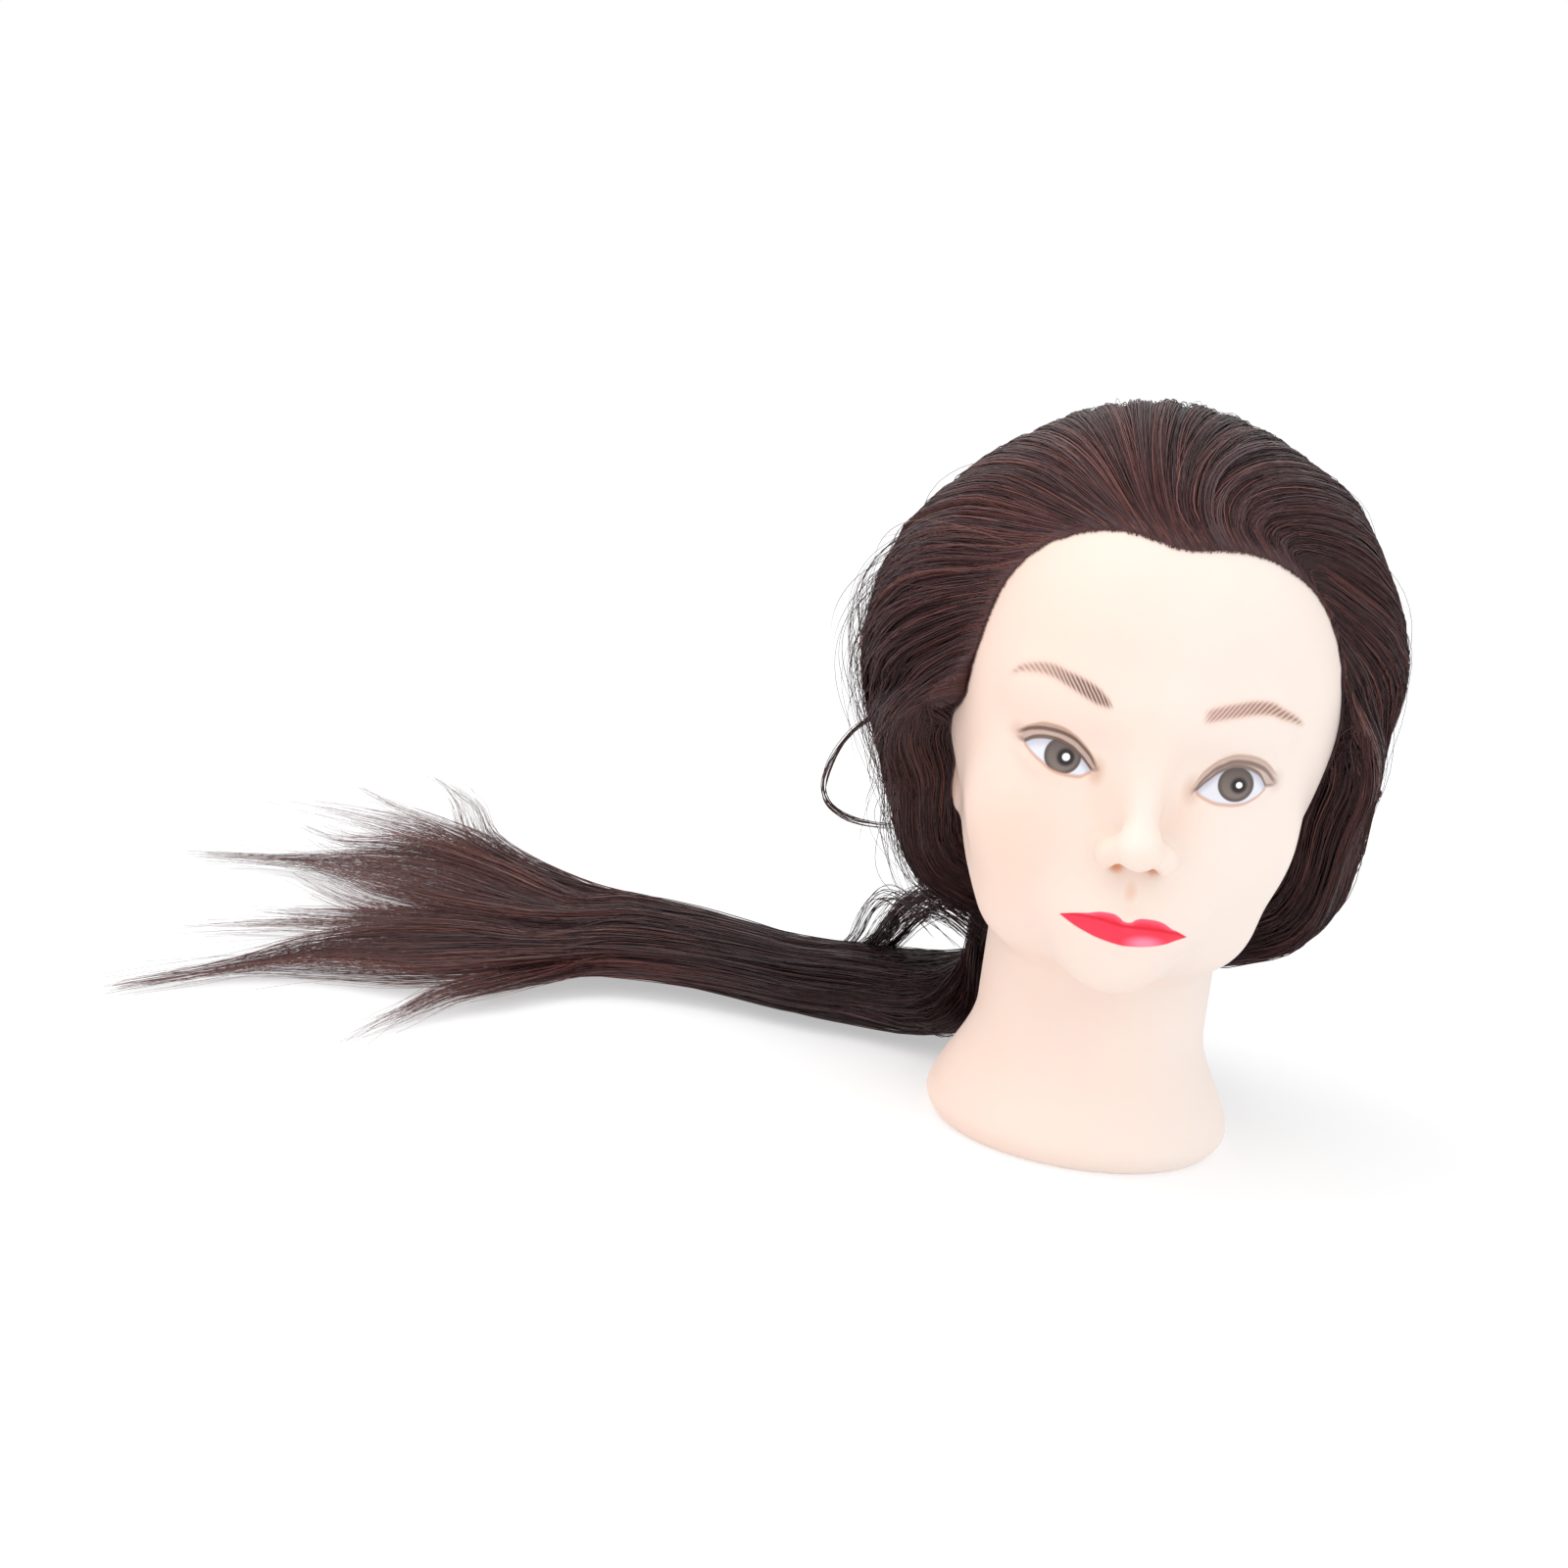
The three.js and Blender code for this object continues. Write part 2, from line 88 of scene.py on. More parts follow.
def capsule(x, y, z, a, b, ra, rb):
    a, b = np.array(a, float), np.array(b, float)
    d = b - a
    t = np.clip(((x - a[0]) * d[0] + (y - a[1]) * d[1] + (z - a[2]) * d[2]) / (d @ d), 0, 1)
    away = np.sqrt((x - a[0] - t * d[0]) ** 2 + (y - a[1] - t * d[1]) ** 2
                   + (z - a[2] - t * d[2]) ** 2)
    return away - (ra + (rb - ra) * t)


def build_up(x, y, z, lumps):
    """Joins lumps in turn. One is how softly it joins, then an ellipsoid's centre and half
    axes, or a capsule's two ends and two radii. A negative softness cuts the lump away."""
    d = None
    for soft, a, b, *radii in lumps:
        form = capsule(x, y, z, a, b, *radii) if radii else ellipsoid(x, y, z, a, b)
        d = form if d is None else carve(d, form, -soft) if soft < 0 else blend(d, form, soft)
    return d


def neck_form(x, y, z):
    flare = (BASE_RADIUS - NECK_RADIUS) * (1 - smooth(4, 44, z))
    rim = 5 * np.maximum(0, 1 - z / 9) ** 2
    centre = 2 + 8 * smooth(20, 110, z)
    return np.maximum(0.85 * (np.hypot(x, (y - centre) / 1.06) - NECK_RADIUS - flare + rim),
                      z - 130)


def bump(u, v, su, sv):
    return np.exp(-(u / su) ** 2 - (v / sv) ** 2)


HEAD = [
    (0, (0, 16, 177), (74.5, 92, 77.5)),  # skull
    (16, (0, -15, 150), (62, 62, 82)),  # face
    (14, (29, -34, 96), (40, 12, 112), 20.5, 18),  # jaw
    (14, (0, -36, 112), (46, 43, 40)),
    (12, (0, -64, CHIN_Z + 14), (17, 17, 14)),  # chin
    (16, (32, -48, 130), (25, 24, 26)),  # cheek
    (16, (6, -70, 172), (38, -58, 173), 6, 5),  # brow ridge
    (-10, (EYE_X - 4, -85, EYE_Z + 3), (15, 8, 8)),  # eye socket
    (4, (EYE_X - 1, -61, EYE_Z), (15, 14.5, 11)),  # eyeball under its lids
    (10, (0, -70, 166), (0, -88, NOSE_Z + 4), 4, 6),  # bridge of the nose
    (6, (0, -92, NOSE_Z + 0.5), (8, 8.5, 7)),  # its tip
    (5, (9.5, -84.5, NOSE_Z - 3.5), (5, 7, 5.5)),  # its wing
    (12, (0, -68, MOUTH_Z + 2), (25, 15, 15)),  # mouth
    (4, (0, -82.5, MOUTH_Z + 3.2), (20, -76, MOUTH_Z + 1), 3.2, 1.2),  # upper lip
    (4, (0, -82, MOUTH_Z - 3.6), (15, -77, MOUTH_Z - 1.2), 3.8, 1.5),  # lower lip
    (5, (60.0, 15, 140), (5.2, 13, 29)),  # ear
    (-3, (67.4, 13, 144), (4.5, 7, 15))]  # its hollow
HAIR = [
    (0, (0, 22, 168), (100.5, 105, 104)),
    (24, (-58, 46, 108), (34, 42, 46)),
    (24, (60, 44, 104), (34, 42, 44)),
    (24, (-8, 68, 96), (60, 48, 48))]


def head_form(px, y, z):
    """The head and neck, with one half mirrored."""
    px = px - FACE_SHIFT * smooth(-74, -86, y)
    x = np.sqrt(px * px + 0.5)
    return blend(build_up(x, y, z, HEAD), neck_form(x, y, z), 14)


def skin_form(px, y, z):
    """The head with its finest relief: lids, nostrils, philtrum and the line of the lips."""
    d = head_form(px, y, z)
    front = smooth(-50, -64, y)
    x = np.abs(px)
    fx = px - FACE_SHIFT
    lid = np.interp(x, [15, 22, 27, 33, 39, 45], [151, 157, 160.6, 162, 160.6, 156.5])
    edge = np.interp(x, [15, 22, 27, 33, 39, 45], [150, 155, 158.8, 160, 158.4, 155])
    low = np.interp(x, [15, 20, 27, 33, 39, 45], [150, 148.6, 147.6, 147.8, 150.4, 154.5])
    span = smooth(14, 20, x) * smooth(50, 43, x)
    lids = 0.7 * bump(z - lid - 1.2, 0, 1.5, 1) - 0.45 * bump(z - edge - 0.2, 0, 1.3, 1)
    lids = (lids - 0.35 * bump(z - low + 1.0, 0, 1.3, 1)) * span
    part = np.interp(fx, [-23, -11, -3, 3, 9, 15, 22], [100, 101.6, 101, 100.8, 100.7, 100.2, 98.6])
    lips = bump(z - part, 0, 1.3, 1) * smooth(24, 18, np.abs(fx))
    nostrils = 1.9 * bump(np.abs(fx) - 6.4, z - 121.5, 2.6, 2.1)
    d = d + (lids + lips + nostrils + 0.8 * bump(fx, z - 111, 2.6, 6)) * front
    hollow = np.maximum(neck_form(px, y, z) + WALL, z - HOLLOW_TOP)
    return np.maximum(np.maximum(d, -hollow), -z)


# How far the combed hair swells at an angle round the head, seen from the front; 0 is up.
SWELL = np.array([
    [-180, 1], [-150, .96], [-135, .93], [-120, .955], [-108, 1.01], [-98, 1.05], [-68, 1.05], [-48, 1],
    [-33, .983], [-15, 1], [2, 1], [25, .985], [42, 1], [55, .98], [72, .985], [84, .965],
    [112, .966], [125, .980], [133, .972], [141, .968], [149, 1], [158, 1.10], [166, 1.13], [174, 1.08],
    [180, 1.03]])


def hair_form(px, y, pz):
    level = pz - SKULL[2]
    swell = np.interp(np.degrees(np.arctan2(px, level)), SWELL[:, 0], SWELL[:, 1])
    return build_up(px / swell, y, SKULL[2] + level / swell, HAIR)


def unit(v):
    return v / np.maximum(np.linalg.norm(v, axis=-1, keepdims=True), 1e-9)


def gradient(form, p):
    g = np.empty_like(p)
    e = 0.2
    for k in range(3):
        hi, lo = p.copy(), p.copy()
        hi[:, k] += e
        lo[:, k] -= e
        g[:, k] = (form(*hi.T) - form(*lo.T)) / (2 * e)
    return g


# ---- meshes
def make_mesh(name, verts, faces, materials, index=None):
    """faces: a list of integer arrays, each with 3 or 4 corners a face."""
    loops = np.concatenate([f.ravel() for f in faces])
    totals = np.concatenate([np.full(len(f), f.shape[1]) for f in faces])
    mesh = bpy.data.meshes.new(name)
    mesh.vertices.add(len(verts))
    mesh.vertices.foreach_set("co", (np.asarray(verts) * MM).astype(np.float32).ravel())
    mesh.loops.add(len(loops))
    mesh.loops.foreach_set("vertex_index", loops.astype(np.int32))
    mesh.polygons.add(len(totals))
    starts = np.concatenate([[0], np.cumsum(totals)[:-1]])
    mesh.polygons.foreach_set("loop_start", starts.astype(np.int32))
    for m in materials:
        mesh.materials.append(m)
    if index is not None:
        mesh.polygons.foreach_set("material_index", index.astype(np.int32))
    mesh.update(calc_edges=True)
    mesh.validate()
    mesh.shade_smooth()
    obj = bpy.data.objects.new(name, mesh)
    bpy.context.scene.collection.objects.link(obj)
    return obj


def surface_net(form, lo, hi, step):
    """A closed quad mesh of form = 0, sampled on a grid and then drawn onto the surface."""
    axes = [np.arange(lo[k], hi[k] + step, step) for k in range(3)]
    full = form(*np.meshgrid(*axes, indexing="ij"))
    inside = full < 0
    corners = [(a, b, c) for a in (0, 1) for b in (0, 1) for c in (0, 1)]
    cells = tuple(n - 1 for n in full.shape)
    count = np.zeros(cells, np.int8)
    for a, b, c in corners:
        count += inside[a:a + cells[0], b:b + cells[1], c:c + cells[2]]
    i, j, k = np.nonzero((count > 0) & (count < 8))
    values = np.stack([full[i + a, j + b, k + c] for a, b, c in corners], 1)
    total = np.zeros((len(i), 3))
    hits = np.zeros(len(i))
    offsets = np.array(corners, float)
    for p in range(8):
        for q in range(p + 1, 8):
            if np.abs(offsets[p] - offsets[q]).sum() != 1:
                continue
            va, vb = values[:, p], values[:, q]
            cross = (va < 0) != (vb < 0)
            t = np.where(cross, va / np.where(cross, va - vb, 1), 0)
            total += cross[:, None] * (offsets[p] + t[:, None] * (offsets[q] - offsets[p]))
            hits += cross
    verts = np.stack([axes[0][i], axes[1][j], axes[2][k]], 1) + total / hits[:, None] * step
    number = np.full(cells, -1, np.int32)
    number[i, j, k] = np.arange(len(i))
    quads = []
    for axis in range(3):
        u, v = (axis + 1) % 3, (axis + 2) % 3
        a = np.moveaxis(inside, axis, 0)
        change = np.moveaxis(a[:-1] != a[1:], 0, axis)
        e = np.stack(np.nonzero(change), 1)
        e = e[(e[:, u] > 0) & (e[:, v] > 0) & (e[:, u] < cells[u]) & (e[:, v] < cells[v])]
        along_u, along_v = np.eye(3, dtype=int)[[u, v]]
        ring = np.stack([number[tuple((e - du * along_u - dv * along_v).T)]
                         for du, dv in ((1, 1), (0, 1), (0, 0), (1, 0))], 1)
        start_inside = inside[e[:, 0], e[:, 1], e[:, 2]]
        ring[~start_inside] = ring[~start_inside][:, ::-1]
        quads.append(ring)
    quads = np.concatenate(quads)
    quads = quads[(quads >= 0).all(1)]
    for _ in range(2):
        g = gradient(form, verts)
        d = form(*verts.T)
        move = (d / np.maximum((g * g).sum(1), 0.05))[:, None] * g
        size = np.linalg.norm(move, axis=1, keepdims=True)
        verts = verts - move * np.minimum(1, 0.6 * step / np.maximum(size, 1e-9))
    return verts, quads


# ---- materials
def linear(*rgb):
    c = np.array(rgb, float) / 255
    return tuple(np.where(c <= 0.04045, c / 12.92, ((c + 0.055) / 1.055) ** 2.4)) + (1.0,)


def feed(slot, value):
    """Link one input of a node to a field or a socket, or set it to a plain value."""
    value = getattr(value, "socket", value)
    if isinstance(value, bpy.types.NodeSocket):
        slot.id_data.links.new(value, slot)
    else:
        slot.default_value = value


def dress(node, values):
    """Feed a node's inputs by name."""
    for name, value in values.items():
        feed(node.inputs[name], value)


class Field:
    """A value in a node tree that plain arithmetic extends with Math nodes."""

    def __init__(self, socket):
        self.tree, self.socket = socket.id_data, socket

    def math(self, op, *others):
        node = self.tree.nodes.new("ShaderNodeMath")
        node.operation = op
        for slot, value in zip(node.inputs, (self, *others)):
            feed(slot, value)
        return Field(node.outputs[0])

    def __add__(self, o):
        return self.math("ADD", o)

    def __sub__(self, o):
        return self.math("SUBTRACT", o)

    def __mul__(self, o):
        return self.math("MULTIPLY", o)

    def abs(self):
        return self.math("ABSOLUTE")

    def sin(self):
        return self.math("SINE")

    def max(self, o):
        return self.math("MAXIMUM", o)

    def min(self, o):
        return self.math("MINIMUM", o)

    def hypot(self, o):
        return (self * self + o * o).math("SQRT")

    def ramp(self, lo, hi, low=0.0, high=1.0):
        """Smooth step from low at lo to high at hi."""
        node = self.tree.nodes.new("ShaderNodeMapRange")
        node.interpolation_type = "SMOOTHSTEP"
        for slot, value in zip(node.inputs, (self, lo, hi, low, high)):
            feed(slot, value)
        return Field(node.outputs[0])

    def curve(self, points):
        """A smooth curve through (x, y) points, flat outside them."""
        points = np.array(points, float)
        lo, hi = points.min(0), points.max(0)
        span = np.maximum(hi - lo, 1e-6)
        node = self.tree.nodes.new("ShaderNodeFloatCurve")
        line = node.mapping.curves[0]
        scaled = (points - lo) / span
        while len(line.points) < len(scaled):
            line.points.new(0.5, 0.5)
        for p, (u, v) in zip(line.points, scaled):
            p.location = (u, v)
            p.handle_type = "AUTO_CLAMPED" if len(scaled) > 2 else "VECTOR"
        node.mapping.update()
        feed(node.inputs["Value"], ((self - lo[0]) * (1 / span[0])).max(0.0).min(1.0))
        return Field(node.outputs[0]) * span[1] + lo[1]


def new_material(name):
    m = bpy.data.materials.new(name)
    m.use_nodes = True
    return m, m.node_tree, m.node_tree.nodes["Principled BSDF"]


def place(tree):
    """The place on the object in metres, and its x, y and z in millimetres of the CAD frame."""
    spot = tree.nodes.new("ShaderNodeTexCoord").outputs["Object"]
    split = tree.nodes.new("ShaderNodeSeparateXYZ")
    feed(split.inputs[0], spot)
    return spot, *[Field(split.outputs[k]) * (1 / MM) for k in range(3)]


def noise(vector, scale, detail, stretch=None):
    tree = vector.id_data
    if stretch is not None:
        mapping = tree.nodes.new("ShaderNodeMapping")
        dress(mapping, {"Scale": stretch, "Vector": vector})
        vector = mapping.outputs[0]
    node = tree.nodes.new("ShaderNodeTexNoise")
    dress(node, {"Scale": scale, "Detail": detail, "Vector": vector})
    return Field(node.outputs["Fac"])


def mix(factor, a, b):
    """Colour a where the factor is 0 and colour b where it is 1, each a socket or 0-255."""
    node = factor.tree.nodes.new("ShaderNodeMix")
    node.data_type = "RGBA"
    for slot, value in ((0, factor), (6, a), (7, b)):
        feed(node.inputs[slot], linear(*value) if isinstance(value, tuple) else value)
    return node.outputs[2]


def relief(height, strength, distance):
    """The normal that a height gives, with the distance in metres."""
    node = height.tree.nodes.new("ShaderNodeBump")
    dress(node, {"Strength": strength, "Distance": distance, "Height": height})
    return node.outputs[0]


# Lines of the painted face, as x, z seen from the front.
EYES = {
    "left": dict(
        edge=[(-42.4, 157), (-38, 159.6), (-33.3, 160.3), (-27.7, 159.2), (-22.9, 156.3), (-18, 151.6)],
        low=[(-42.4, 156.9), (-39, 154.3), (-35.8, 152.3), (-29.8, 149.3), (-23.6, 148.9), (-18, 151.4)],
        fold=[(-44.6, 159.2), (-39, 162.2), (-33.7, 163), (-28.2, 162.4), (-21.5, 158.6), (-16.3, 152.6)],
        top=[(-45, 159.8), (-40, 163.2), (-35, 164.9), (-30.5, 164.7), (-26, 163), (-21.3, 159.6),
             (-15.6, 153.2)],
        iris=(-28.6, 155.1, 6.6), pupil=(-27.5, 154.9, 4.3), light=(-27.4, 155, 1.35),
        corners=[(-16.4, 151.6), (-44.6, 159.2)], weight=1),
    "right": dict(
        edge=[(18.6, 149.8), (22.3, 154.2), (26.8, 158.2), (32.3, 160), (38, 158.8), (42.8, 153.6)],
        low=[(18.6, 149.6), (22.5, 147.6), (27.4, 146.5), (33.5, 146.9), (38.5, 149.2), (42.8, 153.4)],
        fold=[(17.4, 149), (21.6, 155.3), (26.4, 159.6), (32.3, 161.6), (38.7, 160.6), (46.2, 154.8)],
        top=[(16.8, 150.6), (22, 158.4), (27, 162.2), (32, 163.8), (38.6, 163), (47, 156.6)],
        iris=(31.9, 153.9, 6.4), pupil=(32.9, 153.8, 4), light=(33, 154, 1.1),
        corners=[(17, 149.8), (46.2, 154.8)], weight=0.85),
}
LIPS = dict(
    top=[(-21.4, 100.3), (-11.8, 103), (-4.1, 104.6), (-1, 103.8), (2.1, 102.5), (5, 103.8), (7.6, 104.3),
         (18.7, 100.8), (24, 97.9)],
    part=[(-21.4, 100.2), (-16, 101.4), (-9.3, 101.7), (-1.3, 101), (4.9, 100.8), (10.8, 100.6),
          (16.8, 100), (24, 97.9)],
    low=[(-21.4, 100.2), (-18.7, 98.8), (-12.2, 96.3), (-5.8, 94.7), (0, 94.1), (6, 94), (9.8, 94.2),
         (15.5, 95.2), (20.1, 96.8), (24, 97.8)])
BROWS = {
    "left": dict(
        line=[(-51, 177.6), (-44, 182.2), (-38, 183.2), (-31.1, 181.8), (-21.7, 178.8), (-13.5, 175.2)],
        half=[(-51, 0.4), (-44, 1.3), (-31, 2.2), (-22, 2.7), (-18, 1.9), (-13.5, 0.2)], lean=0.9,
        darkens=(-50, -20), pale=(150, 122, 112), dark=(84, 52, 40), faint=0.75, full=1),
    "right": dict(
        line=[(16.5, 176.4), (28.1, 179.4), (37.3, 180.7), (45.1, 178.7), (54.4, 173.8)],
        half=[(16.5, 2), (28, 2.2), (38, 2), (46, 1.4), (54.4, 0.4)], lean=-0.9,
        darkens=(17, 40), pale=(168, 126, 120), dark=(138, 94, 76), faint=0.95, full=0.95),
}


def skin_material():
    m, tree, shader = new_material("vinyl_skin_painted")
    vector, x, y, z = place(tree)
    mottle, grain, hairs = noise(vector, 28, 4), noise(vector, 900, 2), noise(vector, 180, 2)
    front = y.ramp(-36, -52)

    def line(field, wide, narrow):
        """A soft line where the field is 0."""
        return field.abs().ramp(wide, narrow)

    def spot(cx, cz, high, far, near):
        """A soft round spot, or an oval one if high isn't 1."""
        return (x - cx).hypot((z - cz) * high).ramp(far, near)

    def between(points, out, to):
        """The stretch of x that a painted line covers."""
        return (x - points[0][0]).ramp(-out, to) * (x - points[-1][0]).ramp(out, -to)

    def paint(amount, over):
        nonlocal colour
        colour = mix(amount, colour, over)

    # peach vinyl with a random mottle, pinker to the left as painted shade on the side away from the key
    # light, and a creamy painted highlight in the middle of the face
    mottle_and_side_shade = (x * -0.011 + 0.42 + (mottle - 0.5) * 0.4).max(0.0).min(1.0)
    colour = mix(mottle_and_side_shade, (240, 226, 217), (243, 215, 200))
    # a creamy painted highlight over the middle of the face
    paint(spot(1.0, 128, 0.8, 46, 6) * front * 0.5, (240, 225, 213))
    # warm painted shade beside the nose and on the left cheek, away from the key light
    warm_shade = spot(-13, 144, 0.8, 13, 0)
    for cx, cz, r in ((15, 142, 11), (-11, 127, 10), (-36, 122, 26)):
        warm_shade = warm_shade.max(spot(cx, cz, 0.8, r, 0))
    paint(warm_shade * front * 0.25, (243, 200, 177))
    # painted shade in the nostrils and in the groove above the lip
    nostril_shade = spot(-4.6, 120.6, 1.1, 3.8, 0.8).max(spot(8.0, 121.2, 1.1, 3.2, 0.8) * 0.8)
    paint(nostril_shade.max(spot(1.7, 112.5, 0.6, 3.0, 0.5) * 0.4) * front * 0.75, (228, 158, 112))
    # the ear is pinker, with soft painted shade along the crease in front of it
    side = x.abs().ramp(60, 64) * (z - 140).abs().ramp(30, 22)
    paint(side * y.ramp(1, 5) * y.ramp(30, 22) * 0.45, (244, 200, 180))
    # painted shade in the crease in front of the ear
    paint(side * line(y - 3.0, 2.4, 0.3) * 0.5, (214, 160, 136))

    for e in EYES.values():
        edge, low, fold, top = (x.curve(e[k]) for k in ("edge", "low", "fold", "top"))
        inside = between(e["edge"], 0.3, 0.3) * front
        reach = between(e["top"], 1.0, 3.0) * front
        w = e["weight"]
        # soft shadows in the inner and the outer corner
        (cx, cz), (ox, oz) = e["corners"]
        paint(spot(cx, cz, 0.62, 4.6, 0.4) * front * 0.42 * w, (186, 136, 104))
        paint(spot(ox, oz, 0.8, 4.4, 0.3) * front * 0.3 * w, (176, 132, 112))
        # pale band over the lid with a thin orange-brown upper edge
        band = (z - edge).ramp(-0.2, 0.5) * (z - top).ramp(0.4, -0.5)
        paint(band * reach * 0.72 * w, (172, 144, 134))
        paint(line(z - top, 0.9, 0.1) * reach * 0.5, (196, 140, 104))
        paint(line(z - fold, 1.15, 0.25) * reach * 0.88 * w, (104, 78, 64))
        # white of the eye, greyer towards the upper lid as painted shade under it
        almond = (z - edge).ramp(0.25, -0.25) * (z - low).ramp(-0.25, 0.25) * inside
        white = mix((z - edge).ramp(-4.5, 0.0), (228, 229, 237), (192, 190, 202))
        ix, iz, ir = e["iris"]
        radius = (x - ix).hypot(z - iz)
        angle = (x - ix).math("ARCTAN2", z - iz)
        spokes = (angle * 24.0).sin() * 0.5 + (angle * 41.0 + 1.3).sin() * 0.5
        # the iris darkens towards the top, painted shade under the upper lid
        shade = ((z - iz) * 0.055 + 0.55 + spokes * 0.06).max(0.0).min(1.0)
        iris = mix(shade, (146, 133, 127), (84, 74, 70))
        iris = mix(radius.ramp(ir - 2.2, ir - 0.4), iris, (90, 80, 77))
        cx, cz, r = e["pupil"]
        iris = mix(spot(cx, cz, 1.0, r - 0.4, r - 2.0), iris, (44, 38, 40))
        white = mix(radius.ramp(ir + 0.2, ir - 0.5), white, iris)
        cx, cz, r = e["light"]
        white = mix(spot(cx, cz, 1.0, r + 0.25, r - 0.25), white, (255, 255, 255))
        colour = mix(almond, colour, white)
        # lash line and the thin lower line
        paint(line(z - edge - 0.25, 1.0, 0.25) * inside.max(reach * 0.6) * 0.9 * w, (88, 68, 58))
        paint(line(z - low + 0.3, 1.2, 0.1) * inside * 0.6, (196, 138, 108))

    for b in BROWS.values():
        middle, half = x.curve(b["line"]), x.curve(b["half"])
        ends = between(b["line"], 0.5, 3.5) * front
        away = (z - middle).abs() - half
        paint(away.ramp(2.6, -0.8) * ends * 0.5, (232, 192, 176))
        stroke = ((x + (z - middle) * b["lean"]) * 3.3 + (hairs - 0.5) * 3.0).sin() * 0.5 + 0.5
        body = away.ramp(1.1, -1.1) * ends * (stroke * 0.66 + 0.3)
        depth = x.ramp(*b["darkens"])
        tone = mix(depth, b["pale"], b["dark"])
        colour = mix(body * depth.ramp(0.0, 1.0, b["faint"], b["full"]), colour, tone)

    top, part, low = (x.curve(LIPS[k]) for k in ("top", "part", "low"))
    mouth = (z - top).ramp(0.3, -0.3) * (z - low).ramp(-0.35, 0.35)
    mouth = mouth * between(LIPS["top"], 0.2, 0.6) * front
    # the upper lip darkens towards the parting, painted shade where the lips meet
    upper = mix((z - top).ramp(-2.6, 0.0), (244, 44, 66), (250, 92, 124))
    # the lower lip, with a painted highlight on its right
    lower = mix(spot(9.0, 95.4, 2.4, 9.0, 1.0), (248, 56, 82), (255, 138, 166))
    lip = mix((z - part).ramp(-0.5, 0.5), lower, upper)
    # a dark line of painted shade in the parting of the lips
    lip = mix(line(z - part, 1.0, 0.1) * 0.75, lip, (222, 20, 42))
    colour = mix(mouth, colour, lip)
    dress(shader, {
        "Base Color": colour, "Roughness": (mottle - 0.5) * 0.12 + 0.46 - mouth * 0.12,
        "Subsurface Weight": 0.12, "Subsurface Radius": (1.0, 0.45, 0.25),
        "Subsurface Scale": 0.004, "IOR": 1.46, "Specular IOR Level": 0.35,
        "Normal": relief(grain * 0.5 + mottle * 0.5, 0.06, 0.0004)})
    return m


# ---- head
SKIN_STEP = 1.5
verts, quads = surface_net(skin_form, (-80, -106, -3), (80, 116, 264), SKIN_STEP)
verts[:, 2] = np.maximum(verts[:, 2], 0.0)
head = make_mesh("head_skin_moulding", verts, [quads], [skin_material()])
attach(head, "root")
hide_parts("head_skin")


# ---- what the hair lies on
def hairline_angle(bearing):
    """The hairline's angle from the middle of the face, with the corners of the table rounded."""
    return sum(np.interp(bearing + d, HAIRLINE[:, 0], HAIRLINE[:, 1]) for d in (-4.5, 0, 4.5)) / 3


def looseness(bearing):
    """1 at the left side, where the hair is combed less tightly, and 0 elsewhere."""
    return smooth(-35, -62, bearing) * smooth(-135, -100, bearing)


def faceward(bearing, angle):
    """Unit vectors from a bearing round the face and an angle from its middle, in degrees."""
    b, a = np.radians(bearing), np.radians(angle)
    over, ahead = np.cos(b) * np.sin(a), np.cos(a)
    return np.stack([np.sin(b) * np.sin(a),
                     -ahead * math.cos(FACE_TILT) - over * math.sin(FACE_TILT),
                     over * math.cos(FACE_TILT) - ahead * math.sin(FACE_TILT)], -1)


def face_angles(d):
    over = d[..., 2] * math.cos(FACE_TILT) - d[..., 1] * math.sin(FACE_TILT)
    ahead = -d[..., 1] * math.cos(FACE_TILT) - d[..., 2] * math.sin(FACE_TILT)
    return np.degrees(np.arctan2(d[..., 0], over)), np.degrees(np.arccos(np.clip(ahead, -1, 1)))


def reach(form, dirs):
    """How far a surface lies from SKULL along each direction."""
    r = np.full(len(dirs), FAR)
    for _ in range(45):
        r = np.clip(r - 0.85 * form(*(SKULL + dirs * r[:, None]).T), 5, FAR)
    return r


GRID_TILT, GRID_TURN = 121, 241
FAR = 190.0               # beyond the head and its hair, from SKULL
lift, bearing = np.meshgrid(np.linspace(-np.pi / 2, np.pi / 2, GRID_TILT),
                            np.linspace(-np.pi, np.pi, GRID_TURN), indexing="ij")
sphere = np.stack([np.cos(bearing) * np.cos(lift), np.sin(bearing) * np.cos(lift), np.sin(lift)], -1)
SKIN_TABLE, HAIR_TABLE = (reach(form, sphere.reshape(-1, 3)).reshape(lift.shape)
                          for form in (head_form, hair_form))


def look_up(table, d):
    """A table of distances read at directions d."""
    u = (np.arcsin(np.clip(d[..., 2], -1, 1)) / np.pi + 0.5) * (GRID_TILT - 1)
    v = (np.arctan2(d[..., 1], d[..., 0]) / (2 * np.pi) + 0.5) * (GRID_TURN - 1)
    i = np.clip(u.astype(int), 0, GRID_TILT - 2)
    j = np.clip(v.astype(int), 0, GRID_TURN - 2)
    u, v = u - i, v - j
    return ((table[i, j] * (1 - v) + table[i, j + 1] * v) * (1 - u)
            + (table[i + 1, j] * (1 - v) + table[i + 1, j + 1] * v) * u)


def hair_surface(d):
    """Distances from SKULL of the skin and of the outside of the combed hair."""
    skin = look_up(SKIN_TABLE, d)
    full = np.maximum(look_up(HAIR_TABLE, d), skin + 3)
    bearing, angle = face_angles(d)
    lift = np.maximum(smooth(-1, 22, angle - hairline_angle(bearing)) ** 0.6,
                      smooth(60, 104, np.abs(bearing)))
    return skin, skin + (full - skin) * lift


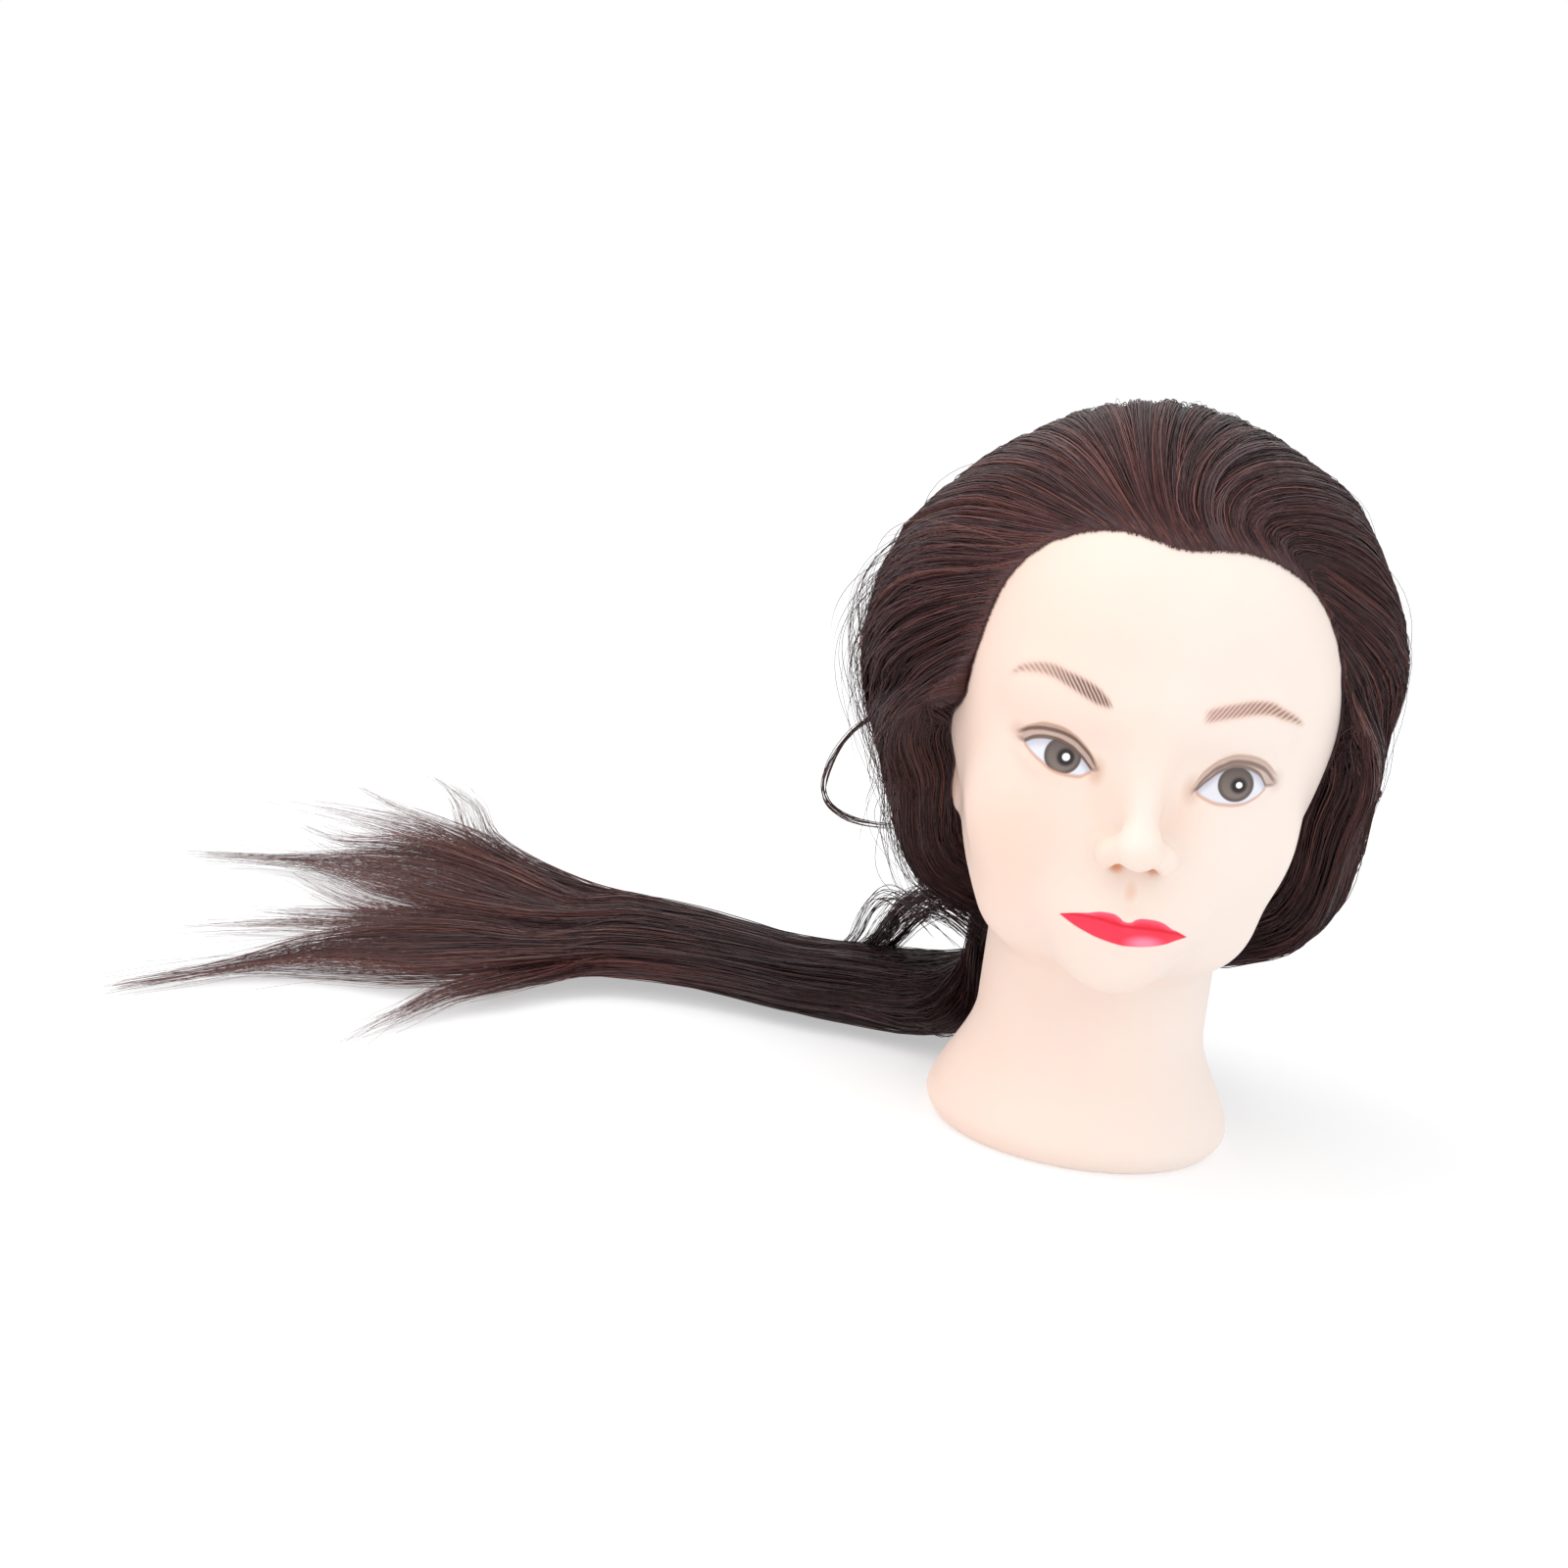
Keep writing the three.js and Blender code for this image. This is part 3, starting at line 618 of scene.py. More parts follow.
# ---- how the hair runs
# For a bearing on the hairline: two directions that draw the strand back over the head,
# and the direction in which it is gathered behind the neck.
FLOW = np.array([
    [-180, -.05, .60, -.95, -.05, .65, -.85, -.05, .70, -.80],
    [-140, -.60, .45, -.75, -.40, .55, -.80, -.15, .60, -.85],
    [-110, -1.0, .10, -.55, -.80, .35, -.80, -.32, .42, -.88],
    [-88, -1.15, -.26, -.30, -1.05, .12, -.92, -.38, .42, -.86],
    [-74, -1.18, -.40, -.12, -1.12, .06, -.95, -.40, .46, -.82],
    [-60, -1.25, -.55, .25, -1.1, .20, -.62, -.42, .50, -.78],
    [-30, -1.00, -.60, .90, -1.25, .50, .05, -.32, .74, -.64],
    [-12, -.50, -.64, 1.20, -1.00, .78, .60, -.18, .84, -.52],
    [4, -.34, -.72, 1.26, .20, .82, 1.08, .02, .88, -.45],
    [16, -.22, -.74, 1.22, 1.10, .42, .98, .20, .82, -.54],
    [32, .02, -.72, 1.20, 1.60, .22, .52, .30, .72, -.66],
    [60, .70, -.66, .86, 1.48, .02, -.42, .38, .52, -.80],
    [72, .98, -.52, .28, 1.38, -.04, -.75, .35, .48, -.84],
    [88, 1.06, -.40, -.22, 1.05, .02, -1.05, .32, .45, -.88],
    [110, 1.0, .15, -.50, .75, .40, -.80, .25, .45, -.88],
    [140, .60, .45, -.75, .40, .55, -.80, .12, .60, -.85],
    [180, -.05, .60, -.95, -.05, .65, -.85, -.05, .70, -.80]])

# The gathered hair from the nape down to the table: centre, and two half axes.
GATHER = np.array([
    [[-2, 80, 70], [42, 6, 0], [-2, 26, 8]],
    [[-4, 88, 46], [44, 10, 0], [-2, 24, 10]],
    [[-16, 94, 25], [34, 34, -2], [-8, 10, 18]],
    [[-50, 98, 15], [14, 41, 0], [-3, 1, 14]]], float)

# The tail on the table: x, front edge, back edge, half height.
TAIL = np.array([
    [-92, 68, 134, 12], [-116, 71, 140, 11], [-140, 77, 154, 10.5], [-164, 79, 170, 10],
    [-188, 74, 182, 9.5]], float)

TAIL_LEFT, TAIL_REAR = -388, 287          # no strand of the tail goes further

# Wisps that the tail fans out into, from the front to the back: the share of the
# tail's strands, and points along it with the half width there.
WISPS = [
    (.045, [(-212, 61, 8, 5), (-228, 40, 8, 5.5), (-243, 22, 7, 5), (-254, 2, 5, 4),
           (-264, -20, 4, 2.4), (-274, -45, 2, .8)]),
    (.26, [(-214, 84, 9, 18), (-242, 72, 9, 27), (-272, 56, 8, 28), (-300, 44, 6, 13),
           (-328, 22, 4, 3.6), (-369, -24, 2, .4)]),
    (.06, [(-214, 106, 9, 6), (-244, 98, 9, 12), (-272, 92, 8, 12), (-298, 90, 6, 9),
           (-326, 84, 4, 6), (-362, 62, 3, 3)]),
    (.05, [(-214, 115, 9, 5), (-244, 111, 9, 9), (-272, 108, 8, 9), (-296, 106, 6, 8),
           (-318, 106, 4, 5), (-338, 104, 3, 4)]),
    (.045, [(-214, 122, 9, 5), (-244, 119, 9, 8), (-270, 116, 8, 7), (-294, 122, 6, 6),
           (-316, 144, 4, 5), (-334, 166, 3, 4)]),
    (.27, [(-214, 142, 9, 19), (-244, 152, 9, 34), (-272, 168, 9, 45), (-302, 177, 7, 30),
           (-334, 182, 5, 6), (-383, 176, 3, .5)]),
    (.08, [(-214, 165, 9, 7), (-246, 186, 10, 11), (-276, 206, 10, 14), (-300, 212, 9, 12),
           (-322, 216, 7, 8), (-345, 243, 6, 2)]),
    (.06, [(-214, 174, 9, 6), (-244, 196, 10, 9), (-272, 226, 10, 12), (-298, 252, 9, 11),
           (-328, 270, 7, 7), (-376, 280, 7, 1)]),
    (.04, [(-214, 180, 9, 5), (-244, 200, 10, 8), (-272, 224, 10, 10), (-296, 243, 9, 9),
           (-320, 258, 8, 6), (-346, 267, 8, 1.5)]),
    (.05, [(-214, 185, 9, 5), (-244, 203, 11, 7), (-268, 232, 12, 10), (-292, 260, 11, 8),
           (-314, 277, 13, 4), (-336, 282, 19, 1)]),
    (.04, [(-214, 190, 10, 5), (-244, 206, 12, 8), (-264, 222, 17, 8), (-272, 234, 26, 7),
           (-281, 240, 33, 3), (-294, 246, 38, 1)]),
]


def value_noise(rows, seed, columns):
    """Smooth curves of random height, one for each row, read with at(row, t) for t in 0-1."""
    table = default_rng(seed).normal(size=(rows, columns + 3, 3))

    def at(row, t):
        u = np.clip(t, 0, 1) * columns
        i = u.astype(int)
        f = (u - i)[..., None]
        f = f * f * (3 - 2 * f)
        row = np.broadcast_to(row, t.shape)
        return table[row, i] * (1 - f) + table[row, i + 1] * f
    return at


def spline(points, samples):
    """Catmull-Rom curves through points (n, k, 3), at samples (n, m) from 0 to k - 1."""
    k = points.shape[1]
    i = np.clip(samples.astype(int), 0, k - 2)
    f = (samples - i)[..., None]
    rows = np.arange(len(points))[:, None]
    p0, p1 = points[rows, np.maximum(i - 1, 0)], points[rows, i]
    p2, p3 = points[rows, i + 1], points[rows, np.minimum(i + 2, k - 1)]
    return 0.5 * (2 * p1 + (p2 - p0) * f + (2 * p0 - 5 * p1 + 4 * p2 - p3) * f ** 2
                  + (3 * p1 - p0 - 3 * p2 + p3) * f ** 3)


HEAD_STEPS = 15
EAR_BEARING = 93.0
ROOT_DEPTH, SKIN_GAP = 0.3, 0.6


def flow_path(bearing, t):
    """Directions along the way back over the head from the hairline at a bearing."""
    keys = [np.interp(bearing, FLOW[:, 0], column) for column in FLOW.T[1:]]
    points = [faceward(bearing, hairline_angle(bearing) + 0.4)]
    points += [np.stack(keys[c:c + 3], 1) for c in (0, 3, 6)]
    w = [(1 - t) ** 3, 3 * (1 - t) ** 2 * t, 3 * (1 - t) * t * t, t ** 3]
    return unit(sum(w[i][..., None] * points[i][:, None] for i in range(4)))


def over_head(bearing, start, depth, centre, clump):
    """Points over the head for each strand, from its root to where the hair is gathered."""
    t = start[:, None] + (1 - start[:, None]) * np.linspace(0, 1, HEAD_STEPS)[None] ** 1.5
    d, e = flow_path(bearing, t), flow_path(centre, t)
    d = unit(d + (e - d) * (clump[:, None] * smooth(0.02, 0.45, t))[..., None])
    skin, outside = hair_surface(d)
    # strands rise slowly from the skin behind the ear, and over its upper edge
    slow = smooth(98, 112, np.abs(bearing)) * 0.4
    slow = np.maximum(slow, 0.16 * bump(np.abs(bearing) - EAR_BEARING, 0, 7, 1))[:, None]
    grown = smooth(-0.012, 0.03 + slow, t)
    layer = np.maximum(outside - depth[:, None] * smooth(0.0, 0.22, t), skin + SKIN_GAP)
    rooted = skin - ROOT_DEPTH + (layer - skin + ROOT_DEPTH) * grown
    buried = np.maximum(layer - 3.5 * (1 - smooth(0, 0.14, t - start[:, None])), skin + 0.3)
    radius = np.where(start[:, None] > 0, buried, rooted)
    return SKULL + d * radius[..., None]


def in_bundle(a, b, stations):
    """Points (n, k, 3) at a, b in the unit disc of each station."""
    return (stations[None, :, 0] + a[:, None, None] * stations[None, :, 1]
            + b[:, None, None] * stations[None, :, 2])


def along_tail(a, b):
    x, front, rear, high = TAIL.T
    y = (front + rear) / 2 + a[:, None] * (rear - front) / 2
    lift = high * (1 + b[:, None] * np.sqrt(np.maximum(0, 1 - a[:, None] ** 2)))
    return np.stack([np.broadcast_to(x, y.shape), y, lift + 0.9], -1)


def wisp_points(a, b, rng):
    """Points down the wisp that each strand falls in."""
    widths = np.array([share for share, _ in WISPS])
    shares = np.cumsum(widths)
    spot = (a + 1) / 2 * shares[-1] + rng.normal(0, 0.025, len(a))
    which = np.clip(np.searchsorted(shares, spot), 0, len(WISPS) - 1)
    starts = np.concatenate([[0], shares[:-1]])
    local = np.clip(((spot - starts[which]) / widths[which]) * 2 - 1, -1.2, 1.2)
    routes = np.array([route for _, route in WISPS], float)
    points, half = routes[which][..., :3], routes[which][..., 3]
    ahead = np.gradient(points, axis=1)
    across = unit(np.stack([-ahead[..., 1], ahead[..., 0], np.zeros(ahead.shape[:2])], -1))
    across *= np.where(across[..., 1:2] < 0, -1, 1)
    s = np.linspace(0, 1, points.shape[1])[None, :, None]
    points = points + across * (local[:, None] * half)[..., None]
    points[..., 2] += b[:, None] * np.clip(half * 0.5, 0.8, 6)
    free = np.where(rng.random(len(a)) < 0.2, 1.0, 0.2)[:, None, None]
    stray = rng.normal(0, 1, (len(a), 1, 3)) * np.array([4, 11, 3]) * free
    points = points + stray * s ** 2
    points[..., 0] = np.maximum(points[..., 0], TAIL_LEFT)
    points[..., 1] = np.minimum(points[..., 1], TAIL_REAR)
    return points


def clear_of_skin(points, gap=0.5):
    """Points pushed out until none lies nearer the skin than the gap."""
    flat = points.reshape(-1, 3)
    d = head_form(*flat.T)
    near = np.nonzero(d < gap)[0]
    for _ in range(3):
        p = flat[near]
        push = np.maximum(0, gap - head_form(*p.T))[:, None]
        flat[near] = p + unit(gradient(head_form, p)) * push
    return flat.reshape(points.shape)


def tubes(paths, radii):
    """Three-sided tapered tubes along paths (n, m, 3)."""
    n, m, _ = paths.shape
    ahead = unit(np.gradient(paths, axis=1))
    low = smooth(75, 35, paths[..., 2:3])
    out = unit(paths - SKULL) * (1 - low) + np.array([0, 0, 1.0]) * low
    side = unit(np.cross(ahead, out))
    other = np.cross(ahead, side)
    angles = np.radians([90, 210, 330])
    ring = (side[:, :, None] * np.cos(angles)[None, None, :, None]
            + other[:, :, None] * np.sin(angles)[None, None, :, None])
    verts = paths[:, :, None] + ring * radii[:, :, None, None]
    base = (np.arange(n) * m * 3)[:, None, None] + (np.arange(m - 1) * 3)[None, :, None]
    j = np.arange(3)[None, None]
    k = (j + 1) % 3
    quads = np.stack([base + j, base + k, base + 3 + k, base + 3 + j], -1).reshape(-1, 4)
    first = np.arange(n)[:, None] * m * 3
    caps = np.concatenate([first + np.array([[0, 2, 1]]), first + (m - 1) * 3 + np.array([[0, 1, 2]])])
    return verts.reshape(-1, 3), quads, caps


# ---- hair materials
def shade(name, rgb, rough):
    m, _, shader = new_material(name)
    dress(shader, {"Base Color": linear(*rgb), "Roughness": rough, "Specular IOR Level": 0.36,
                   "Anisotropic": 0.4})
    return m


# A strand is made of one of these, or steps through a few of them along its length, for painted shade,
# painted sheen and its lighter tips.
SHADES = [shade(name, rgb, rough) for name, rgb, rough in [
    ("hair_0", (50, 29, 30), 0.36), ("hair_1", (65, 38, 39), 0.38), ("hair_2", (80, 47, 47), 0.40),
    ("hair_3", (95, 57, 55), 0.40), ("hair_4", (114, 68, 62), 0.42), ("hair_5", (92, 70, 73), 0.34),
    ("hair_6", (132, 86, 78), 0.44)]]
LADDER = np.array([0, 1, 2, 5, 3, 4, 6])        # the shades from dark to light
DARK_SHADES = 4


def undercoat_material():
    m, tree, shader = new_material("hair_undercoat")
    vector, *_ = place(tree)
    streak = noise(vector, 260, 3, (1.0, 0.35, 0.12))
    fine = noise(vector, 900, 2, (1.0, 0.4, 0.1))
    dress(shader, {
        "Base Color": mix(streak.ramp(0.3, 0.7), (30, 18, 18), (56, 35, 34)),
        "Roughness": streak * 0.2 + 0.45, "Specular IOR Level": 0.2,
        "Normal": relief(streak * 0.6 + fine * 0.4, 0.8, 0.0012)})
    return m


UNDERCOAT = undercoat_material()


def finish_hair(piece, *nodes):
    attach(piece, "root")
    if nodes:
        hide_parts(*nodes)


def thickness(shape, width, root=0.5, tip=0.25, tail_from=0.8):
    s = np.linspace(0, 1, shape[1])[None]
    profile = (root + (1 - root) * smooth(0, 0.06, s)) * (1 - (1 - tip) * smooth(tail_from, 1, s))
    return width[:, None] * profile


def tones(rng, lock, count, weights):
    """A shade for each strand: most take their lock's shade, the rest their own."""
    order = default_rng(5).choice(len(SHADES), 4000, p=weights)
    own = rng.choice(len(SHADES), count, p=weights)
    return np.where(rng.random(count) < 0.5, order[lock], own)


COMBED = (.16, .24, .24, .16, .08, .08, .04)    # how much of the hair each shade takes
# INNER: darker shades for the hair under the sides, as painted shade where it lies in shadow
INNER = (.34, .26, .20, .08, .04, .08, .0)
FANNED = (.10, .20, .24, .20, .14, .05, .07)


def strand_piece(name, rng, paths, widths, nodes=(), lock=None, weights=COMBED, **taper):
    """A piece of hair: tubes between two widths, in one shade a lock or in any dark shade."""
    count = len(paths)
    radii = thickness(paths.shape, rng.uniform(*widths, count), **taper)
    tone = rng.choice(DARK_SHADES, count) if lock is None else tones(rng, lock, count, weights)
    paths = clear_of_skin(paths)
    paths[..., 2] = np.maximum(paths[..., 2], radii + 0.25)
    verts, quads, caps = tubes(paths, radii)
    # darker as painted shade where the hair lies in its own shade by the neck, lighter at the tips of the
    # tail
    x, z = paths[:, 1:, 0], paths[:, 1:, 2]
    dither = default_rng(7).random((len(paths), 1))
    darker = 2.6 * smooth(-215, -95, x) * smooth(120, 45, z) - 1.9 * smooth(-205, -285, x)
    # a painted sheen high on the left of the head, and painted shade high on the right
    darker = darker - 1.3 * bump(x + 62, z - 224, 34, 28) + 0.7 * bump(x - 48, z - 242, 24, 24)
    rung = np.argsort(LADDER)[tone][:, None] - np.floor(darker + dither).astype(int)
    tone = LADDER[np.clip(rung, 0, len(LADDER) - 1)]
    index = np.concatenate([np.repeat(tone.ravel(), 3), tone[:, 0], tone[:, -1]])
    finish_hair(make_mesh(name, verts, [quads, caps], SHADES, index), *nodes)


# ---- the undercoat on the head
def loft(name, rings, first, last):
    """A closed body through rings (n, m, 3), with a fan from a point at either end."""
    n, m, _ = rings.shape
    j = np.arange(m)
    k = (j + 1) % m
    quads = np.concatenate([np.stack([i * m + j, i * m + k, (i + 1) * m + k, (i + 1) * m + j], 1)
                            for i in range(n - 1)])
    end = (n - 1) * m
    tris = np.concatenate([np.stack([k, j, np.full(m, n * m)], 1),
                           np.stack([end + j, end + k, np.full(m, n * m + 1)], 1)])
    verts = np.concatenate([rings.reshape(-1, 3), [first, last]])
    return make_mesh(name, verts, [quads, tris], [UNDERCOAT])


def scalp_undercoat():
    around, steps = 144, 44
    bearing = np.linspace(-180, 180, around, endpoint=False)
    share = np.linspace(0, 1, steps + 1)[:-1]
    line = hairline_angle(bearing) + 1.6
    angle = line + (180 - line) * share[:, None]
    d = faceward(np.broadcast_to(bearing, angle.shape), angle)
    skin, outside = hair_surface(d)
    low = smooth(88, 112, np.abs(bearing))
    share = share[:, None]
    inset = (2.2 + 8.0 * looseness(bearing) + 5.0 * low) * smooth(0, 0.12, share) + 0.6
    # it rises slowly from the hairline at the nape and over the ear, so that strands cover it
    notch = bump(np.abs(bearing) - EAR_BEARING + 2, 0, 11, 1)
    slope = (1 - low * (1 - smooth(0, 0.16, share))) * (1 - 0.92 * notch * (1 - smooth(0.02, 0.35, share)))
    radius = np.minimum(outside - inset, skin + (outside - skin) * 0.9 * slope - 0.8)
    radius = np.maximum(radius, skin + 0.35)
    outer = clear_of_skin(SKULL + d * radius[..., None], 0.3)
    inner = SKULL + d[0] * (skin[0] - 1.5)[:, None]
    pole = faceward(0, 180)
    pole_r = hair_surface(pole[None])[1][0] - 3
    return loft("hair_undercoat_head", np.concatenate([inner[None], outer]), SKULL, SKULL + pole * pole_r)


def tail_undercoat():
    around = 40
    turn = np.linspace(0, -2 * np.pi, around, endpoint=False)
    a, b = np.cos(turn), np.sin(turn)
    bundle = in_bundle(a * 0.82, b * 0.82, GATHER)
    x, front, rear, high = TAIL.T
    flat = np.stack([np.broadcast_to(x, (around, len(x))),
                     (front + rear) / 2 + a[:, None] * (rear - front) / 2 * 0.86,
                     high * (1 + b[:, None] * 0.80) + 0.9], -1)
    ends = np.array([[-205, 124, 8, 44, 5], [-222, 126, 7, 34, 3], [-240, 128, 6, 20, 1]], float)
    close = np.stack([np.broadcast_to(ends[:, 0], (around, 3)), ends[:, 1] + a[:, None] * ends[:, 3],
                      ends[:, 2] + b[:, None] * ends[:, 4]], -1)
    points = np.concatenate([bundle, flat, close], 1)
    samples = np.broadcast_to(np.linspace(0, points.shape[1] - 1, 60), (around, 60))
    rings = clear_of_skin(spline(points, samples).transpose(1, 0, 2), 0.4)
    rings[..., 2] = np.maximum(rings[..., 2], 0.4)
    return loft("hair_undercoat_tail", rings, rings[0].mean(0), rings[-1].mean(0))


finish_hair(scalp_undercoat(), "back_hair_left", "back_hair_right", "scalp_cap")
finish_hair(tail_undercoat(), "fall_hair")

# ---- strands
LOCKS, LAYERS, WANDERS = 150, 3, 4000
lock_wander = value_noise(LOCKS * LAYERS, 11, 4)
strand_wander = value_noise(WANDERS, 12, 5)


def grow(count, seed, lo, hi, full=False, inner=0.0):
    """Strands from the hairline between two bearings: the generator, paths and lock numbers."""
    rng = default_rng(seed)
    bearing = rng.uniform(lo, hi, count)
    lock = np.floor((bearing + 180) / 360 * LOCKS + rng.normal(0, 0.16, count)).astype(int) % LOCKS
    centre = (lock + 0.5) / LOCKS * 360 - 180
    layer = rng.integers(0, LAYERS, count)
    bearing = np.clip(bearing, -179.9, 179.9)
    start = np.where(rng.random(count) < 0.72, 0, rng.random(count) * 0.38)
    loose = looseness(bearing)
    own_lock = lock * LAYERS + layer
    lock_lift = default_rng(3).normal(0, 1.0, LOCKS * LAYERS)[own_lock]
    depth = rng.random(count) ** (1.2 - 0.45 * loose) * (3.6 + 10.5 * loose) + 0.7
    depth = depth + np.abs(lock_lift) * 0.5 + inner * rng.random(count)
    clump = np.where(rng.random(count) < 0.85, 0.45 + 0.2 * rng.random(count), 0.0)
    head_points = over_head(bearing, start, depth, centre, clump)
    angle = np.radians(bearing * 0.95) + rng.normal(0, 0.12, count)
    rho = 0.62 + 0.38 * rng.random(count) ** 0.6
    a, b = rho * np.sin(angle), rho * np.cos(angle)
    parts = [head_points, in_bundle(a, b, GATHER if full else GATHER[:3])]
    if full:
        turn_in = rng.permutation(np.linspace(-1, 1, count))
        a = np.clip(a * 0.75 + turn_in * 0.45, -0.98, 0.98)
        b = np.abs(b) * 0.9 * np.where(rng.random(count) < 0.8, 1, -1)
        parts += [along_tail(a, b), wisp_points(a, b * 0.8, rng)]
    else:
        parts[1][:, 2] = GATHER[2, 0] + (parts[1][:, 2] - GATHER[2, 0]) * 0.55
    points = np.concatenate(parts, 1)
    # strands end at random, so that the tips thin out
    short = rng.random(count) ** 0.62 * 3.4 if full else rng.random(count) * 0.6
    end = points.shape[1] - 1 - short
    s = np.linspace(0, 1, 62 if full else 25)[None]
    paths = spline(points, s * end[:, None])
    along = s * np.ones((count, 1))
    wander = lock_wander(own_lock[:, None], along) * smooth(0.03, 0.3, along)[..., None]
    out = unit(paths - SKULL)
    off = (wander * out).sum(-1, keepdims=True) * smooth(60, 110, paths[..., 2:3])
    wander = wander - off * 0.7 * out
    single = strand_wander(rng.integers(0, WANDERS, count)[:, None], along) * 0.25
    paths = paths + wander + single * smooth(0.03, 0.2, along)[..., None]
    return rng, paths, own_lock


GROUPS = [
    ("hair_front_left", -46, 0, 1250, "front_hair_left"),
    ("hair_front_right", 0, 46, 1250, "front_hair_right"),
    ("hair_crown_left", -24, 2, 1100, "crown_hair_left"),
    ("hair_crown_right", -2, 34, 1250, "crown_hair_right"),
    ("hair_side_left", -104, -46, 1250, "side_hair_left"),
    ("hair_side_right", 46, 104, 1250, "side_hair_right"),
    ("hair_nape_left", -180, -104, 340, "nape_hair_left"),
    ("hair_nape_right", 104, 180, 340, "nape_hair_right"),
]
for seed, (name, lo, hi, count, *nodes) in enumerate(GROUPS, 100):
    rng, paths, lock = grow(count, seed, lo, hi)
    strand_piece(name, rng, paths, (0.15, 0.23), nodes, lock)

INNER_GROUPS = [("hair_inner_left", -106, -66), ("hair_inner_right", 66, 106)]
for seed, (name, lo, hi) in enumerate(INNER_GROUPS, 150):
    rng, paths, lock = grow(640, seed, lo, hi, inner=34.0)
    strand_piece(name, rng, paths, (0.19, 0.27), (), lock, INNER)

LONG = [("hair_long_left", -125, -58), ("hair_long_top_left", -58, 0),
        ("hair_long_top_right", 0, 58), ("hair_long_right", 58, 125)]
for seed, (name, lo, hi) in enumerate(LONG, 200):
    rng, paths, lock = grow(480, seed, lo, hi, full=True)
    strand_piece(name, rng, paths, (0.18, 0.25), ["fall_hair"], lock, tip=0.2, tail_from=0.7)

HALF_LOCKS = 16           # locks in half the tail's width


def grow_tail(count, seed, lo, hi):
    """Strands of the tail alone, between two places across it from -1 to 1."""
    rng = default_rng(seed)
    a = rng.uniform(lo, hi, count)
    lock = np.floor((a + 1) * HALF_LOCKS + rng.normal(0, 0.2, count)).astype(int) % 40
    a = a + (((lock + 0.5) / HALF_LOCKS - 1) - a) * 0.3
    a = np.clip(a, -0.99, 0.99)
    b = np.where(rng.random(count) < 0.78, 1, -1) * rng.uniform(0.25, 1.0, count) ** 0.5
    bundle = in_bundle(a * 0.92, b * 0.8 * np.sqrt(1 - a * a * 0.8), GATHER[1:])
    points = np.concatenate([bundle, along_tail(a, b), wisp_points(a, b * 0.9, rng)], 1)
    s = np.linspace(0, 1, 42)[None]
    begin = rng.random(count) * 0.9
    end = points.shape[1] - 1 - rng.random(count) ** 0.62 * 3.5
    paths = spline(points, begin[:, None] + s * (end - begin)[:, None])
    along = s * np.ones((count, 1))
    paths = paths + lock_wander((lock * LAYERS)[:, None], along) * np.array([1.2, 2.4, 0.6])
    paths = paths + strand_wander(rng.integers(0, WANDERS, count)[:, None], along) * 0.5
    return rng, paths, lock


TAIL_GROUPS = [
    ("hair_tail_front", -1.0, -0.36, "tail_front_lock", "tip_front", "tip_long"),
    ("hair_tail_middle", -0.36, 0.30, "tail_middle_lock", "tip_middle_short", "tip_middle_long"),
    ("hair_tail_back", 0.30, 1.0, "tail_back_lock", "tip_back_low", "tip_back_high"),
]
for seed, (name, lo, hi, *nodes) in enumerate(TAIL_GROUPS, 300):
    rng, paths, lock = grow_tail(720, seed, lo, hi)
    strand_piece(name, rng, paths, (0.18, 0.26), nodes, lock, FANNED, tip=0.2, tail_from=0.6)


def stubble(count, seed):
    """Short new hair along the hairline."""
    rng = default_rng(seed)
    bearing = rng.uniform(-92, 100, count)
    root = faceward(bearing, hairline_angle(bearing) + rng.uniform(-0.5, 2.0, count))
    turn_down = 16 * np.sign(bearing) * smooth(45, 80, np.abs(bearing))
    ahead = faceward(bearing + turn_down + rng.normal(0, 3, count), hairline_angle(bearing) + 9)
    skin, _ = hair_surface(root)
    length = rng.uniform(3, 8, count)
    p = SKULL + root * (skin - 0.4)[:, None]
    way = unit(ahead - root)[:, None]
    s = np.linspace(0, 1, 7)[None, :, None]
    rise = root[:, None] * (0.30 * s - 0.1 * s * s)
    return rng, p[:, None] + (way * s + rise) * length[:, None, None]


rng, paths = stubble(2600, 400)
strand_piece("hair_edge", rng, paths, (0.10, 0.17), root=1.0, tip=0.3, tail_from=0.3)


def flyaways(count, seed, lo, hi, size):
    """Strands that leave the combed hair in an arc, and end free or fall back into it."""
    rng, paths, lock = grow(count, seed, lo, hi)
    m = paths.shape[1]
    along = np.linspace(0, 1, m)[None]
    begin = rng.uniform(0.05, 0.5, count)
    length = rng.uniform(0.3, 0.6, count)
    s = begin[:, None] + length[:, None] * along
    paths = spline(paths, np.clip(s, 0, 0.98) * (m - 1))
    out = unit(paths - SKULL)
    arc = np.sin(along * np.pi * rng.uniform(0.45, 1.0, count)[:, None])
    own = rng.exponential(size, count) + 1.0
    shared = default_rng(seed + 50).exponential(size, LOCKS * LAYERS)[lock] + 1.0
    with_lock = rng.random(count) < 0.6
    high = np.where(with_lock, shared * rng.uniform(0.7, 1.05, count), own)
    high = np.minimum(high, 3.0 * size)
    drift = rng.normal(0, 1, (count, 1, 3)) * (size * 1.1) * along[..., None] ** 1.5
    return rng, paths + out * (high[:, None] * arc)[..., None] + drift, lock


LOOSE_GROUPS = [("hair_flyaway_left", -116, -30, 460, 4.2), ("hair_flyaway_top", -30, 60, 50, 1.2)]
for seed, (name, lo, hi, count, size) in enumerate(LOOSE_GROUPS, 500):
    rng, paths, lock = flyaways(count, seed, lo, hi, size)
    strand_piece(name, rng, paths, (0.08, 0.13), (), lock)


def free_lock(name, rng, route, offsets, steps, widths, nodes=()):
    """Strands that follow one route in the air, each a little to its side."""
    points = route[None] + offsets
    s = np.linspace(0, len(route) - 1, steps)[None] * np.ones((len(points), 1))
    strand_piece(name, rng, spline(points, s), widths, nodes)


